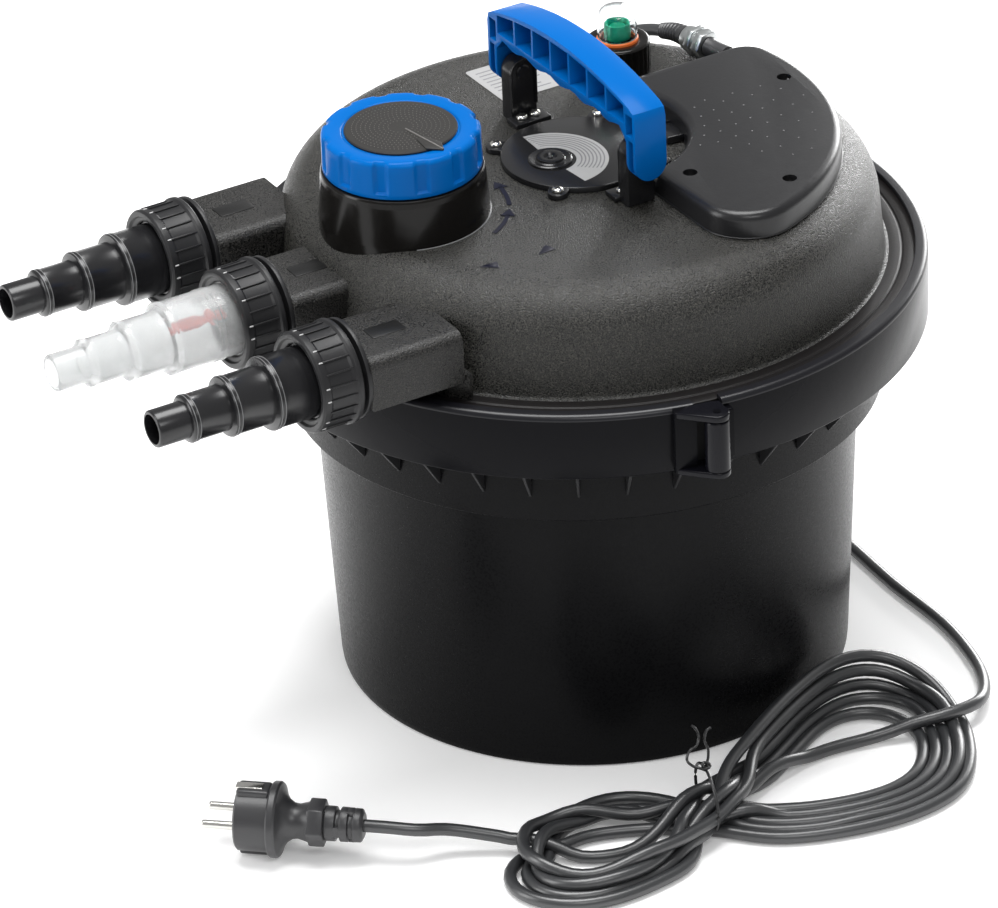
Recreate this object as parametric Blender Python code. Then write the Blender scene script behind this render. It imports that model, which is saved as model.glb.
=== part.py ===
"""Pressure filter for a garden pond: a clamped tub and lid, three stepped hose tails, a valve dial,
a carrying handle, a UV-C housing, a flow indicator and a mains cable with its plug.

Metres, +Z up. The origin is the centre of the tub's flat bottom, on the floor. The hose tails point
along -X, the handle swings about an axis along Y, and the cable leaves the lid on the +Y side.
"""
import bpy
import bmesh
from math import acos, asin, atan2, cos, hypot, pi, radians, sin, sqrt
from mathutils import Matrix, Vector

# ---------------------------------------------------------------- driving dimensions
GAP = 0.0003                 # clearance between pieces that touch
TUB_BASE_R = 0.1468
TUB_TOP_R = 0.1548
TUB_STEP_Z = 0.1727          # height at which the tub steps out into its collar
COLLAR_R = 0.1691
RIM_R = 0.1885               # tub rim and lid flange, gripped by the clamp band
RIM_Z = 0.2300
BAND_R = 0.1950
BAND_WALL = 0.0045
BAND_LIP_R = 0.1860
BAND_LIP = 0.0025
BAND_Z0 = 0.2140
BAND_Z1 = 0.2532
GUSSETS = 40
LID_FLANGE_TOP = 0.2504
LID_TOP = 0.3095
DOME_FOOT_R = 0.1720
SHOULDER_R = 0.0280          # radius of the dome's shoulder
SHOULDER_CENTRE = (0.1400, 0.2815)
LID_WALL = 0.0035

HINGE_ANGLE = radians(-100.5)
HINGE_R = 0.2058
BARREL_R = 0.0070
LATCH_ANGLE = HINGE_ANGLE + pi

PIPE_Z = 0.2770
PIPE_YS = {"a": -0.0850, "b": 0.0, "c": 0.0850}
PIPE_BORE_R = 0.0130
STUB_HALF = 0.0280           # the stub housings are flat-topped boxes round each pipe
STUB_Z = (0.2620, 0.2930)
STUB_END_X = -0.1990
NUT_R = 0.0285
NUT_REAR_X = -0.2040
NUT_LENGTH = 0.0250
TAIL_RADII = (0.0202, 0.0165, 0.0130, 0.0105)      # for 40, 32, 25 and 20 mm hose
TAIL_STEPS = (0.0474, 0.0718, 0.0952, 0.1144)      # where each section ends, from the nut's rear
SIGHT_STEPS = (0.0636, 0.0880, 0.1114, 0.1304)     # the same on the clear tail
TAIL_FLANGE = (0.0180, 0.0210)
FLAP_PIVOT = (-0.2370, PIPE_YS["b"], PIPE_Z + 0.0040)

DIAL_X = -0.1120
DIAL_R = 0.0444
DIAL_Z0 = 0.3393
DIAL_Z1 = 0.3612
DIAL_SCALLOPS = 12
HOUSING_R = 0.0476
POINTER_ANGLE = radians(-81.5)

HANDLE_WIDTH = 0.0200
HANDLE_HALF = 0.0790         # from the middle to the outer face of a leg
HANDLE_LEG = 0.0095
HANDLE_END_Z = 0.3735
HANDLE_CROWN_Z = 0.3840
HANDLE_UNDER_Z = 0.3580
HANDLE_SKIN = 0.0030
HANDLE_BACK = 0.0032
HANDLE_WEB = 0.0018
HANDLE_WEB_PITCH = 0.0196
HANDLE_WEB_COUNT = 8
PIVOT_Z = 0.3390
BRACKET_Y = (0.0580, 0.0682)
BRACKET_HALF = 0.0110
PIVOT_R = 0.0050
BRACKET_SCREW_XS = (-0.0043, 0.0043)
BRACKET_SCREW_Y = 0.0538

COVER_R = 0.0435
COVER_TOP = 0.3132
BOSS_X = -0.0180

UVC_TOP = 0.3250
UVC_ARC_R = 0.1475
UVC_NOTCH_R = 0.0615
UVC_BACK_Y = 0.0430
UVC_LEFT_X = 0.0125
UVC_SCREWS = ((0.1319, -0.0078), (0.0264, -0.0764), (0.0679, -0.1133))

INDICATOR_XY = (0.0750, 0.0790)
GLAND_START = Vector((0.1270, 0.0446, 0.3186))
GLAND_HEADING = radians(101.0)
BOOT_START = 0.0343
BOOT_BEND_R = 0.0350
BOOT_BEND = radians(18)
SPONGE_R = (0.0240, 0.1180)  # water rises outside the foams and passes through them to their bore
SPONGE_Z = (0.0120, 0.1160, 0.2240)

CORD_D = 0.0073
HANK_Z = (0.0024, 0.0264)
TIE_XY = Vector((-0.0560, -0.2115))
PLUG_TAIL = Vector((-0.2305, -0.1360, 0.0217))
PLUG_HEADING = radians(138.6)
FLOOR_Z = CORD_D / 2 + 0.0001
HANK_IN = Vector((0.1253, -0.1901, 0.0110))          # where the cable meets the hank
HANK_OUT = Vector((-0.1831, -0.1883, 0.0125))        # where the lead leaves it
HANK_OUTLINE = ((-0.0560, -0.1900), (-0.0200, -0.1840), (0.0250, -0.1660), (0.0700, -0.1450), (0.1050, -0.1300),
                (0.1250, -0.1420), (0.1270, -0.1750), (0.1150, -0.2250), (0.0800, -0.2560), (0.0300, -0.2680),
                (-0.0200, -0.2600), (-0.0560, -0.2330), (-0.0900, -0.2480), (-0.1350, -0.2620), (-0.1750, -0.2500),
                (-0.1930, -0.2180), (-0.1780, -0.1820), (-0.1400, -0.1640), (-0.0950, -0.1740))


# ---------------------------------------------------------------- scene and materials
def clear_scene():
    for obj in list(bpy.data.objects):
        bpy.data.objects.remove(obj)


def material(name, colour, roughness, metallic=0.0, alpha=1.0):
    mat = bpy.data.materials.new(name)
    mat.use_nodes = True
    shader = mat.node_tree.nodes["Principled BSDF"]
    shader.inputs["Base Color"].default_value = (*colour, 1.0)
    shader.inputs["Roughness"].default_value = roughness
    shader.inputs["Metallic"].default_value = metallic
    shader.inputs["Alpha"].default_value = alpha
    return mat


def dress(obj, colour, roughness, metallic=0.0, alpha=1.0):
    """Give an object its own material and smooth shading with sharp corners."""
    obj.data.materials.clear()
    obj.data.materials.append(material(obj.name, colour, roughness, metallic, alpha))
    if obj.type == "MESH":
        obj.data.shade_smooth()
        obj.data.set_sharp_from_angle(angle=radians(32))
    return obj


BLACK_PLASTIC = (0.018, 0.018, 0.019)
GRAINED_GREY = (0.035, 0.034, 0.033)
BLUE_PLASTIC = (0.010, 0.160, 0.720)
STEEL = (0.62, 0.61, 0.58)


# ---------------------------------------------------------------- mesh helpers
def object_from_bmesh(name, bm):
    bmesh.ops.recalc_face_normals(bm, faces=bm.faces)
    mesh = bpy.data.meshes.new(name)
    bm.to_mesh(mesh)
    bm.free()
    obj = bpy.data.objects.new(name, mesh)
    bpy.context.scene.collection.objects.link(obj)
    return obj


def turned(name, profile, segments=48, start=0.0, sweep=2 * pi):
    """Turn a profile of (radius, z) points about Z. A profile that touches the axis closes there;
    any other profile is a loop. A sweep short of a full turn gets flat end faces."""
    bm = bmesh.new()
    full = abs(sweep - 2 * pi) < 1e-9
    columns = segments if full else segments + 1
    rings = []
    for radius, z in profile:
        if radius < 1e-9:
            rings.append([bm.verts.new((0.0, 0.0, z))])
            continue
        angles = [start + sweep * i / segments for i in range(columns)]
        rings.append([bm.verts.new((radius * cos(a), radius * sin(a), z)) for a in angles])
    loops = len(rings) > 2 and len(rings[0]) > 1
    count = len(rings) if loops else len(rings) - 1
    for i in range(count):
        low, high = rings[i], rings[(i + 1) % len(rings)]
        for k in range(segments):
            nxt = (k + 1) % columns
            corners = [low[k % len(low)], low[nxt % len(low)], high[nxt % len(high)], high[k % len(high)]]
            unique = list(dict.fromkeys(corners))
            if len(unique) > 2:
                bm.faces.new(unique)
    if not full:
        bm.faces.new([ring[0] for ring in rings])
        bm.faces.new([ring[-1] for ring in reversed(rings)])
    return object_from_bmesh(name, bm)


def prism(name, outline, z0, z1, top_round=0.0, steps=3):
    """Extrude a closed (x, y) outline from z0 to z1, with its top edge rounded if asked."""
    bm = bmesh.new()
    low = [bm.verts.new((x, y, z0)) for x, y in outline]
    high = [bm.verts.new((x, y, z1)) for x, y in outline]
    count = len(outline)
    bm.faces.new(low)
    bm.faces.new(high)
    for i in range(count):
        bm.faces.new((low[i], low[(i + 1) % count], high[(i + 1) % count], high[i]))
    if top_round > 0:
        bmesh.ops.recalc_face_normals(bm, faces=bm.faces)
        edges = [e for e in bm.edges if e.verts[0] in high and e.verts[1] in high]
        bmesh.ops.bevel(bm, geom=edges, offset=top_round, segments=steps, profile=0.5,
                        affect="EDGES", clamp_overlap=False)
    return object_from_bmesh(name, bm)


def box(name, low, high):
    outline = [(low[0], low[1]), (high[0], low[1]), (high[0], high[1]), (low[0], high[1])]
    return prism(name, outline, low[2], high[2])


def cylinder(name, radius, z0, z1, segments=24, at=(0.0, 0.0)):
    obj = turned(name, [(0, z0), (radius, z0), (radius, z1), (0, z1)], segments)
    obj.location = (at[0], at[1], 0.0)
    return obj


def tube_along(name, centres, radii, segments=16):
    """A round solid along a path in the plane that holds Z and the path's own heading."""
    bm = bmesh.new()
    rings = []
    for i, centre in enumerate(centres):
        ahead = centres[min(i + 1, len(centres) - 1)] - centres[max(i - 1, 0)]
        side = ahead.cross(Vector((0, 0, 1))).normalized()
        up = side.cross(ahead).normalized()
        ring = []
        for k in range(segments):
            a = 2 * pi * k / segments
            ring.append(bm.verts.new(centre + radii[i] * (cos(a) * side + sin(a) * up)))
        rings.append(ring)
    for low, high in zip(rings, rings[1:]):
        for k in range(segments):
            bm.faces.new((low[k], low[(k + 1) % segments], high[(k + 1) % segments], high[k]))
    bm.faces.new(rings[0])
    bm.faces.new(rings[-1])
    return object_from_bmesh(name, bm)


def combine(target, tool, operation):
    """Apply a Boolean at once and remove the tool."""
    bpy.context.view_layer.update()
    modifier = target.modifiers.new("combine", "BOOLEAN")
    modifier.object = tool
    modifier.operation = operation
    modifier.solver = "EXACT"
    graph = bpy.context.evaluated_depsgraph_get()
    mesh = bpy.data.meshes.new_from_object(target.evaluated_get(graph))
    target.modifiers.clear()
    target.data = mesh
    bpy.data.objects.remove(tool)
    return target


def cut(target, *tools):
    for tool in tools:
        combine(target, tool, "DIFFERENCE")
    return target


def weld(target, *tools):
    for tool in tools:
        combine(target, tool, "UNION")
    return target


def along_pipe(obj, y):
    """Lay a piece that was made about +Z along -X, with its origin on a pipe's axis at the nut's rear."""
    obj.rotation_euler = (0.0, radians(-90), 0.0)
    obj.location = (NUT_REAR_X, y, PIPE_Z)
    return obj


def arc(centre, radius, a0, a1, steps):
    """Points of an arc from angle a0 to a1, both ends included."""
    angles = [a0 + (a1 - a0) * i / steps for i in range(steps + 1)]
    return [(centre[0] + radius * cos(a), centre[1] + radius * sin(a)) for a in angles]


# ---------------------------------------------------------------- tub and lid
def make_tub():
    profile = [(0, 0), (TUB_BASE_R - 0.004, 0), (TUB_BASE_R, 0.004), (TUB_TOP_R, TUB_STEP_Z),
               (COLLAR_R, TUB_STEP_Z), (COLLAR_R + 0.0010, 0.2165), (RIM_R, 0.2188), (RIM_R, RIM_Z),
               (COLLAR_R - 0.0030, RIM_Z), (COLLAR_R - 0.0030, TUB_STEP_Z + 0.0035),
               (TUB_TOP_R - 0.0035, TUB_STEP_Z + 0.0035), (TUB_BASE_R - 0.0035, 0.0045), (0, 0.0045)]
    tub = turned("tub", profile, 60)
    for i in range(GUSSETS):
        angle = radians(3.6 + 360.0 / GUSSETS * i)
        weld(tub, gusset(angle))
    return dress(tub, BLACK_PLASTIC, 0.42)


def gusset(angle):
    """A thin triangular rib between the collar and the underside of the rim."""
    half = 0.0008
    outline = [(COLLAR_R - 0.0012, 0.1885), (COLLAR_R + 0.0012, 0.1885), (0.1895, 0.2125),
               (0.1895, 0.2134), (0.1852, 0.2134), (0.1852, 0.2195), (COLLAR_R - 0.0012, 0.2195)]
    rib = prism("gusset", outline, -half, half)
    rib.matrix_world = Matrix.Rotation(angle, 4, "Z") @ Matrix.Rotation(radians(90), 4, "X")
    return rib


def dome_profile(inset):
    """The dome from its foot to its crown, moved in by inset."""
    cx, cz = SHOULDER_CENTRE
    radius = SHOULDER_R - inset
    points = [(DOME_FOOT_R - inset, LID_FLANGE_TOP)]
    points += [(cx + radius * cos(a), cz + radius * sin(a)) for a in [radians(d) for d in (6, 30, 52, 72, 90)]]
    points.append((0.0, LID_TOP - inset))
    return points


def make_lid():
    """A solid dome on its flange with the three stubs, then hollowed and bored."""
    start = radians(1.3)
    lid = turned("lid", [(0.0, 0.2352), (RIM_R, 0.2352), (RIM_R, LID_FLANGE_TOP)] + dome_profile(0.0), 60, start)
    for y in PIPE_YS.values():
        weld(lid, *stub_pieces(y))
    inner = dome_profile(LID_WALL)
    inner[0] = (DOME_FOOT_R - LID_WALL, 0.2300)
    cut(lid, turned("hollow", [(0.0, 0.2300)] + inner, 60, start))
    for y in PIPE_YS.values():
        cut(lid, along_pipe(cylinder("bore", PIPE_BORE_R, -0.0860, 0.0300, 22), y))
    cut(lid, cylinder("valve_hole", HOUSING_R + GAP, 0.2965, 0.33, 48, at=(DIAL_X, 0.0)))
    for x, y in cover_screw_places():
        cut(lid, cylinder("screw_hole", 0.0014, 0.30, 0.32, 10, at=(x, y)))
    return dress(lid, GRAINED_GREY, 0.6)


def stub_pieces(y):
    """A hose stub: a flat-topped housing, the block below it and a collar with its threaded spigot."""
    z0, z1 = STUB_Z
    corner = 0.0062
    section = [(-STUB_HALF, z0), (STUB_HALF, z0)]
    section += arc((STUB_HALF - corner, z1 - corner), corner, 0.0, pi / 2, 3)
    section += arc((corner - STUB_HALF, z1 - corner), corner, pi / 2, pi, 3)
    housing = prism("housing", section, 0.1290, -STUB_END_X)
    housing.matrix_world = Matrix(((0, 0, -1, 0), (-1, 0, 0, y), (0, 1, 0, 0), (0, 0, 0, 1)))
    outline = [(-0.1370, y - STUB_HALF + 0.0004), (-0.1370, y + STUB_HALF - 0.0004)]
    for i in range(9):
        side = y + (STUB_HALF - 0.0004) * (1 - i / 4)
        outline.append((-min(0.1545, sqrt(0.1790 ** 2 - side ** 2)), side))
    block = prism("block", outline, 0.2440, z0 + 0.0040)
    spigot = turned("spigot", [(0, -0.0054), (NUT_R, -0.0054), (NUT_R, -0.0028), (0.0230, -0.0028),
                               (0.0230, 0.0158), (0, 0.0158)], 28, radians(2.0))
    return housing, block, along_pipe(spigot, y)


def make_gasket():
    profile = [(0.1735, RIM_Z + GAP), (0.1830, RIM_Z + GAP), (0.1830, 0.2349), (0.1735, 0.2349)]
    return dress(turned("rim_gasket", profile, 40), (0.02, 0.02, 0.02), 0.8)


# ---------------------------------------------------------------- clamp band
def band_section():
    round_r = 0.0035
    section = [(BAND_LIP_R, BAND_Z0), (BAND_R - 0.0010, BAND_Z0), (BAND_R, BAND_Z0 + 0.0012)]
    section += [(BAND_R, BAND_Z1 - round_r), (BAND_R - 0.0010, BAND_Z1 - 0.0010), (BAND_R - round_r, BAND_Z1)]
    section += [(BAND_LIP_R, BAND_Z1), (BAND_LIP_R, BAND_Z1 - BAND_LIP)]
    section += [(BAND_R - BAND_WALL, BAND_Z1 - BAND_LIP), (BAND_R - BAND_WALL, BAND_Z0 + 0.0030)]
    section.append((BAND_LIP_R, BAND_Z0 + 0.0030))
    return section


def pin_place():
    return HINGE_R * cos(HINGE_ANGLE), HINGE_R * sin(HINGE_ANGLE)


def wedge(name, r0, r1, a0, a1, z0, z1, steps=4):
    """A block between two radii and two angles about the tub's axis."""
    outline = arc((0, 0), r0, a0, a1, steps) + list(reversed(arc((0, 0), r1, a0, a1, steps)))
    return prism(name, outline, z0, z1)


def make_band_left():
    """The half on the hose side, from the latch to the hinge, where it carries two ears."""
    start = LATCH_ANGLE + radians(0.4)
    end = HINGE_ANGLE + 2 * pi - radians(2.6)
    half = turned("band_left", band_section(), 28, start, end - start)
    pad = wedge("pad", BAND_R - 0.002, BAND_R + 0.0050, HINGE_ANGLE - radians(6.2),
                HINGE_ANGLE - radians(2.7), BAND_Z0 + 0.0005, BAND_Z1 - 0.0005)
    weld(half, pad)
    for z0, z1 in ((BAND_Z0 + 0.0005, BAND_Z0 + 0.0040), (BAND_Z1 - 0.0040, BAND_Z1 - 0.0005)):
        weld(half, ear(z0, z1))
    cut(half, cylinder("ear_bore", 0.0025, 0.19, 0.27, 16, at=pin_place()))
    for z0, z1 in ((0.2240, 0.2262), (0.2390, 0.2412)):
        weld(half, lug(z0, z1))
    return dress(half, BLACK_PLASTIC, 0.3)


def ear(z0, z1):
    """A tab from the pad to the hinge pin, with a round end."""
    px, py = pin_place()
    tangent = HINGE_ANGLE + pi / 2
    outline = arc((px, py), 0.0066, tangent - pi / 2, tangent + pi / 2, 6)
    back = HINGE_ANGLE - radians(3.4)
    outline += [((BAND_R - 0.0005) * cos(back), (BAND_R - 0.0005) * sin(back))]
    outline += [((BAND_R + 0.0050) * cos(back), (BAND_R + 0.0050) * sin(back))]
    return prism("ear", outline, z0, z1)


def latch_pin_place():
    angle = LATCH_ANGLE + radians(5.0)
    radius = BAND_R + 0.0060
    return radius * cos(angle), radius * sin(angle)


def lug(z0, z1):
    """A plate that carries the latch lever's pin."""
    a = LATCH_ANGLE + radians(5.0)
    plate = wedge("lug", BAND_R - 0.0020, BAND_R + 0.0100, a - radians(1.6), a + radians(1.6), z0, z1)
    hole = cylinder("hole", 0.0018, 0.20, 0.26, 12, at=latch_pin_place())
    return cut(plate, hole)


def make_band_right():
    """The swinging half, with the hinge barrel at one end and a catch pad at the other."""
    start = HINGE_ANGLE + radians(2.2)
    end = LATCH_ANGLE - radians(0.4)
    half = turned("band_right", band_section(), 28, start, end - start)
    z0, z1 = BAND_Z0 + 0.0044, BAND_Z1 - 0.0044
    px, py = pin_place()
    arm = wedge("arm", BAND_R - 0.0020, BAND_R + 0.0060, HINGE_ANGLE + radians(0.9),
                HINGE_ANGLE + radians(4.5), z0, z1)
    catch = wedge("catch", BAND_R - 0.0020, BAND_R + 0.0060, LATCH_ANGLE - radians(3.6),
                  LATCH_ANGLE - radians(1.6), 0.2266, 0.2386)
    weld(half, arm, catch, cylinder("barrel", BARREL_R, z0, z1, 28, at=(px, py)))
    cut(half, cylinder("barrel_bore", 0.0025, 0.19, 0.27, 16, at=(px, py)))
    return dress(half, BLACK_PLASTIC, 0.3)


def make_hinge_pin():
    pin = cylinder("hinge_pin", 0.0022, BAND_Z0 - 0.0006, BAND_Z1 + 0.0002, 20, at=pin_place())
    return dress(pin, STEEL, 0.35, 0.9)


def make_latch_lever():
    """A flat lever that lies along the band over the joint between its halves."""
    px, py = latch_pin_place()
    turn = LATCH_ANGLE + radians(5.0) + pi / 2
    outline = arc((0.0, 0.0), 0.0042, radians(90), radians(270), 6)
    outline += [(0.0300, -0.0022), (0.0560, 0.0040), (0.0570, 0.0062), (0.0550, 0.0072), (0.0300, 0.0022)]
    lever = prism("latch_lever", outline, -0.0060, 0.0060)
    cut(lever, cylinder("lever_bore", 0.0018, -0.02, 0.02, 12))
    pin = cylinder("lever_pin", 0.0020, -0.0105, 0.0105, 12)
    pin.scale = (0.72, 0.72, 1.0)
    weld(lever, cylinder("core", 0.0022, -0.0060, 0.0060, 12), pin)
    lever.location = (px, py, 0.2326)
    lever.rotation_euler = (0.0, 0.0, turn)
    return dress(lever, BLACK_PLASTIC, 0.35)


# ---------------------------------------------------------------- hose side
def make_union_nut(key, y):
    lip = 0.0212
    profile = [(0.0238, 0.0), (NUT_R + 0.0012, 0.0), (NUT_R, NUT_LENGTH - 0.0015), (NUT_R - 0.0015, NUT_LENGTH),
               (lip, NUT_LENGTH), (lip, NUT_LENGTH - 0.0036), (0.0238, NUT_LENGTH - 0.0036)]
    nut = turned(f"union_nut_{key}", profile, 24)
    return dress(along_pipe(nut, y), BLACK_PLASTIC, 0.4)


def tail_profile(steps, bore, chamber):
    """Flange, then four hose sections, each ending in a raised ring and a chamfer to the next."""
    flange0, flange1 = TAIL_FLANGE
    outer = [(0.0230, flange0), (0.0230, flange1)]
    previous = flange1
    for i, end in enumerate(steps):
        radius = TAIL_RADII[i]
        last = i == len(steps) - 1
        outer.append((radius - 0.0001, previous + 0.0002))
        if last:
            outer += [(radius, end - 0.0010), (radius - 0.0010, end)]
        else:
            outer += [(radius + 0.0005, end - 0.0015), (TAIL_RADII[i + 1] + 0.0010, end)]
        previous = end
    inner = [(TAIL_RADII[3] - bore, steps[3]), (TAIL_RADII[3] - bore, steps[2] - 0.004)]
    inner += [(TAIL_RADII[1] - bore, steps[0] + 0.004), (chamber, steps[0] - 0.008), (chamber, flange0)]
    return outer + inner


def make_tail(key, y):
    tail = turned(f"hose_tail_{key}", tail_profile(TAIL_STEPS, 0.0021, 0.0168), 18)
    return dress(along_pipe(tail, y), BLACK_PLASTIC, 0.35)


def make_sight_tail():
    tail = turned("hose_tail_b", tail_profile(SIGHT_STEPS, 0.0021, 0.0176), 18)
    return dress(along_pipe(tail, PIPE_YS["b"]), (0.85, 0.85, 0.84), 0.12, 0.0, 0.35)


def make_tail_gasket(key, y):
    profile = [(0.0172, 0.0161), (0.0222, 0.0161), (0.0222, 0.0177), (0.0172, 0.0177)]
    return dress(along_pipe(turned(f"tail_gasket_{key}", profile, 20), y), (0.03, 0.03, 0.03), 0.8)


def make_flow_flap():
    """A red plate on a cross pin inside the clear tail."""
    outline = [(0.0010, -0.0085), (0.0010, 0.0085)]
    outline += arc((-0.0150, 0.0), 0.0085, pi / 2, 3 * pi / 2, 8)
    flap = prism("flow_flap", outline, -0.0006, 0.0006)
    pin = cylinder("pin", 0.0013, -0.0165, 0.0165, 12)
    pin.rotation_euler = (radians(90), 0.0, 0.0)
    weld(flap, pin)
    flap.location = FLAP_PIVOT
    return dress(flap, (0.75, 0.10, 0.05), 0.4)


# ---------------------------------------------------------------- valve and dial
def make_valve_housing():
    profile = [(0.0070, 0.3328), (0.0070, DIAL_Z0 - 0.0008), (HOUSING_R - 0.0035, DIAL_Z0 - 0.0008),
               (HOUSING_R - 0.0010, DIAL_Z0 - 0.0016), (HOUSING_R, DIAL_Z0 - 0.0050), (HOUSING_R, 0.2975),
               (HOUSING_R - 0.0030, 0.2975), (HOUSING_R - 0.0030, 0.3328)]
    housing = turned("valve_housing", profile, 36)
    housing.location = (DIAL_X, 0.0, 0.0)
    return dress(housing, (0.008, 0.008, 0.009), 0.12)


def make_dial_ring():
    profile = [(0, DIAL_Z0 + 0.0027), (0.0405, DIAL_Z0 + 0.0027), (0.0405, DIAL_Z0), (DIAL_R, DIAL_Z0),
               (DIAL_R, DIAL_Z1 - 0.0030), (DIAL_R - 0.0009, DIAL_Z1 - 0.0009), (DIAL_R - 0.0030, DIAL_Z1),
               (0.0324, DIAL_Z1), (0.0318, DIAL_Z1 - 0.0010), (0, DIAL_Z1 - 0.0010)]
    ring = turned("dial_ring", profile, 48)
    for vertex in ring.data.vertices:
        radius = hypot(vertex.co.x, vertex.co.y)
        if radius > 0.0407:
            bay = max(0.0, cos(DIAL_SCALLOPS * atan2(vertex.co.y, vertex.co.x))) ** 1.5
            shrink = 1.0 - 0.0015 * bay / radius
            vertex.co.x *= shrink
            vertex.co.y *= shrink
    ring.location = (DIAL_X, 0.0, 0.0)
    return dress(ring, BLUE_PLASTIC, 0.3)


def make_dial_disc():
    top = DIAL_Z1 + 0.0009
    disc = turned("dial_disc", [(0, DIAL_Z1 - 0.0007), (0.0313, DIAL_Z1 - 0.0007), (0.0313, top), (0, top)], 48)
    pointer = prism("pointer", [(-0.0060, -0.0016), (0.0370, -0.0060), (0.0385, 0.0), (0.0370, 0.0060),
                                (-0.0060, 0.0016)], DIAL_Z1 + 0.0004, DIAL_Z1 + 0.0030)
    pointer.rotation_euler = (0.0, 0.0, POINTER_ANGLE)
    weld(disc, pointer)
    disc.location = (DIAL_X, 0.0, 0.0)
    return dress(disc, BLACK_PLASTIC, 0.5)


def make_valve_rotor():
    profile = [(0, 0.2990), (0.0420, 0.2990), (0.0420, 0.3050), (0.0066, 0.3080), (0.0066, DIAL_Z0 + 0.0026),
               (0, DIAL_Z0 + 0.0026)]
    rotor = turned("valve_rotor", profile, 28)
    rotor.location = (DIAL_X, 0.0, 0.0)
    return dress(rotor, (0.5, 0.5, 0.48), 0.4)


# ---------------------------------------------------------------- handle
def make_bracket(key, side):
    """A post with a round top, a pivot pin on its outer side and a screwed foot on its inner side."""
    half = BRACKET_HALF
    z0 = LID_TOP + GAP
    outline = [(-half, z0), (half, z0)] + arc((0.0, PIVOT_Z), half, 0.0, pi, 12)
    post = prism(f"bracket_{key}", outline, BRACKET_Y[0], BRACKET_Y[1])
    to_world = Matrix(((1, 0, 0, 0), (0, 0, side, 0), (0, 1, 0, 0), (0, 0, 0, 1)))
    post.data.transform(to_world)
    if side < 0:
        post.data.flip_normals()
    low_y, high_y = sorted((side * 0.0475, side * (BRACKET_Y[0] + 0.0010)))
    foot = box("foot", (-0.0115, low_y, z0), (0.0115, high_y, z0 + 0.0030))
    pin = cylinder("pin", PIVOT_R, BRACKET_Y[1] - 0.0010, 0.0765, 24)
    pin.data.transform(to_world)
    if side < 0:
        pin.data.flip_normals()
    pin.location = (0.0, 0.0, PIVOT_Z)
    weld(post, foot, pin)
    for x in BRACKET_SCREW_XS:
        cut(post, cylinder("hole", 0.0014, 0.30, 0.32, 10, at=(x, side * BRACKET_SCREW_Y)))
    return dress(post, BLACK_PLASTIC, 0.35)


def handle_outlines():
    """The handle's outside in (y, z): an arched top, rounded corners and legs with round ends."""
    rise = HANDLE_CROWN_Z - HANDLE_END_Z
    corner_y = HANDLE_HALF - 0.0060
    radius = (corner_y ** 2 + rise ** 2) / (2 * rise)
    reach = asin(corner_y / radius)
    top = arc((0.0, HANDLE_CROWN_Z - radius), radius, pi / 2 - reach, pi / 2 + reach, 12)
    left = [(-HANDLE_HALF + 0.0015, HANDLE_END_Z - 0.0022), (-HANDLE_HALF, HANDLE_END_Z - 0.0070)]
    right = [(HANDLE_HALF, HANDLE_END_Z - 0.0070), (HANDLE_HALF - 0.0015, HANDLE_END_Z - 0.0022)]
    foot = PIVOT_Z - HANDLE_WIDTH / 2
    inner_y = HANDLE_HALF - HANDLE_LEG
    under = [(-inner_y, foot), (-inner_y, HANDLE_UNDER_Z - 0.0060)]
    waves = 24
    for i in range(waves + 1):
        y = -inner_y + 0.0070 + (2 * inner_y - 0.0140) * i / waves
        z = HANDLE_UNDER_Z + 0.0012 * cos(5 * 2 * pi * i / waves)
        under.append((y, z))
    under += [(inner_y, HANDLE_UNDER_Z - 0.0060), (inner_y, foot)]
    return right + top + left + [(-HANDLE_HALF, foot)] + under + [(HANDLE_HALF, foot)]


def make_handle():
    """A bail handle with an open channel on its -X side, crossed by webs."""
    half = HANDLE_WIDTH / 2
    handle = prism("handle", handle_outlines(), -half, half)
    handle.data.transform(Matrix(((0, 0, 1, 0), (1, 0, 0, 0), (0, 1, 0, 0), (0, 0, 0, 1))))
    for side in (-1, 1):
        low_y, high_y = sorted((side * (HANDLE_HALF - HANDLE_LEG - 0.002), side * (HANDLE_HALF + 0.002)))
        keep = cylinder("round_end", half, -0.02, 0.02, 28)
        blank = box("blank", (-0.02, low_y, PIVOT_Z - half - 0.005), (0.02, high_y, PIVOT_Z))
        keep.data.transform(Matrix.Rotation(radians(90), 4, "X"))
        keep.location = (0.0, side * (HANDLE_HALF - HANDLE_LEG / 2), PIVOT_Z)
        cut(handle, cut(blank, keep))
        hole = cylinder("pivot_hole", PIVOT_R + 0.0003, -0.0090, 0.0090, 24)
        hole.data.transform(Matrix.Rotation(radians(90), 4, "X"))
        hole.location = (0.0, side * 0.0680, PIVOT_Z)
        cut(handle, hole)
        low_y, high_y = sorted((side * (HANDLE_HALF - HANDLE_LEG + 0.0025), side * (HANDLE_HALF - 0.0025)))
        cut(handle, box("leg_pocket", (-half - 0.01, low_y, 0.3330), (-half + 0.0040, high_y, 0.3535)))
    rise = HANDLE_CROWN_Z - HANDLE_END_Z
    outer_web = HANDLE_WEB_PITCH * (HANDLE_WEB_COUNT - 1) / 2
    for i in range(HANDLE_WEB_COUNT - 1):
        left = -outer_web + HANDLE_WEB_PITCH * i
        cut(handle, handle_cell(left + HANDLE_WEB / 2, left + HANDLE_WEB_PITCH - HANDLE_WEB / 2, rise, half))
    for side in (-1, 1):
        y0, y1 = sorted((side * (outer_web + HANDLE_WEB / 2), side * (HANDLE_HALF - 0.0025)))
        cut(handle, box("corner_cell", (-half - 0.01, y0, 0.3560), (half - HANDLE_BACK, y1, 0.3690)))
    handle.data.transform(Matrix.Translation((0.0, 0.0, -PIVOT_Z)))
    handle.location = (0.0, 0.0, PIVOT_Z)
    return dress(handle, BLUE_PLASTIC, 0.3)


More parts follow.
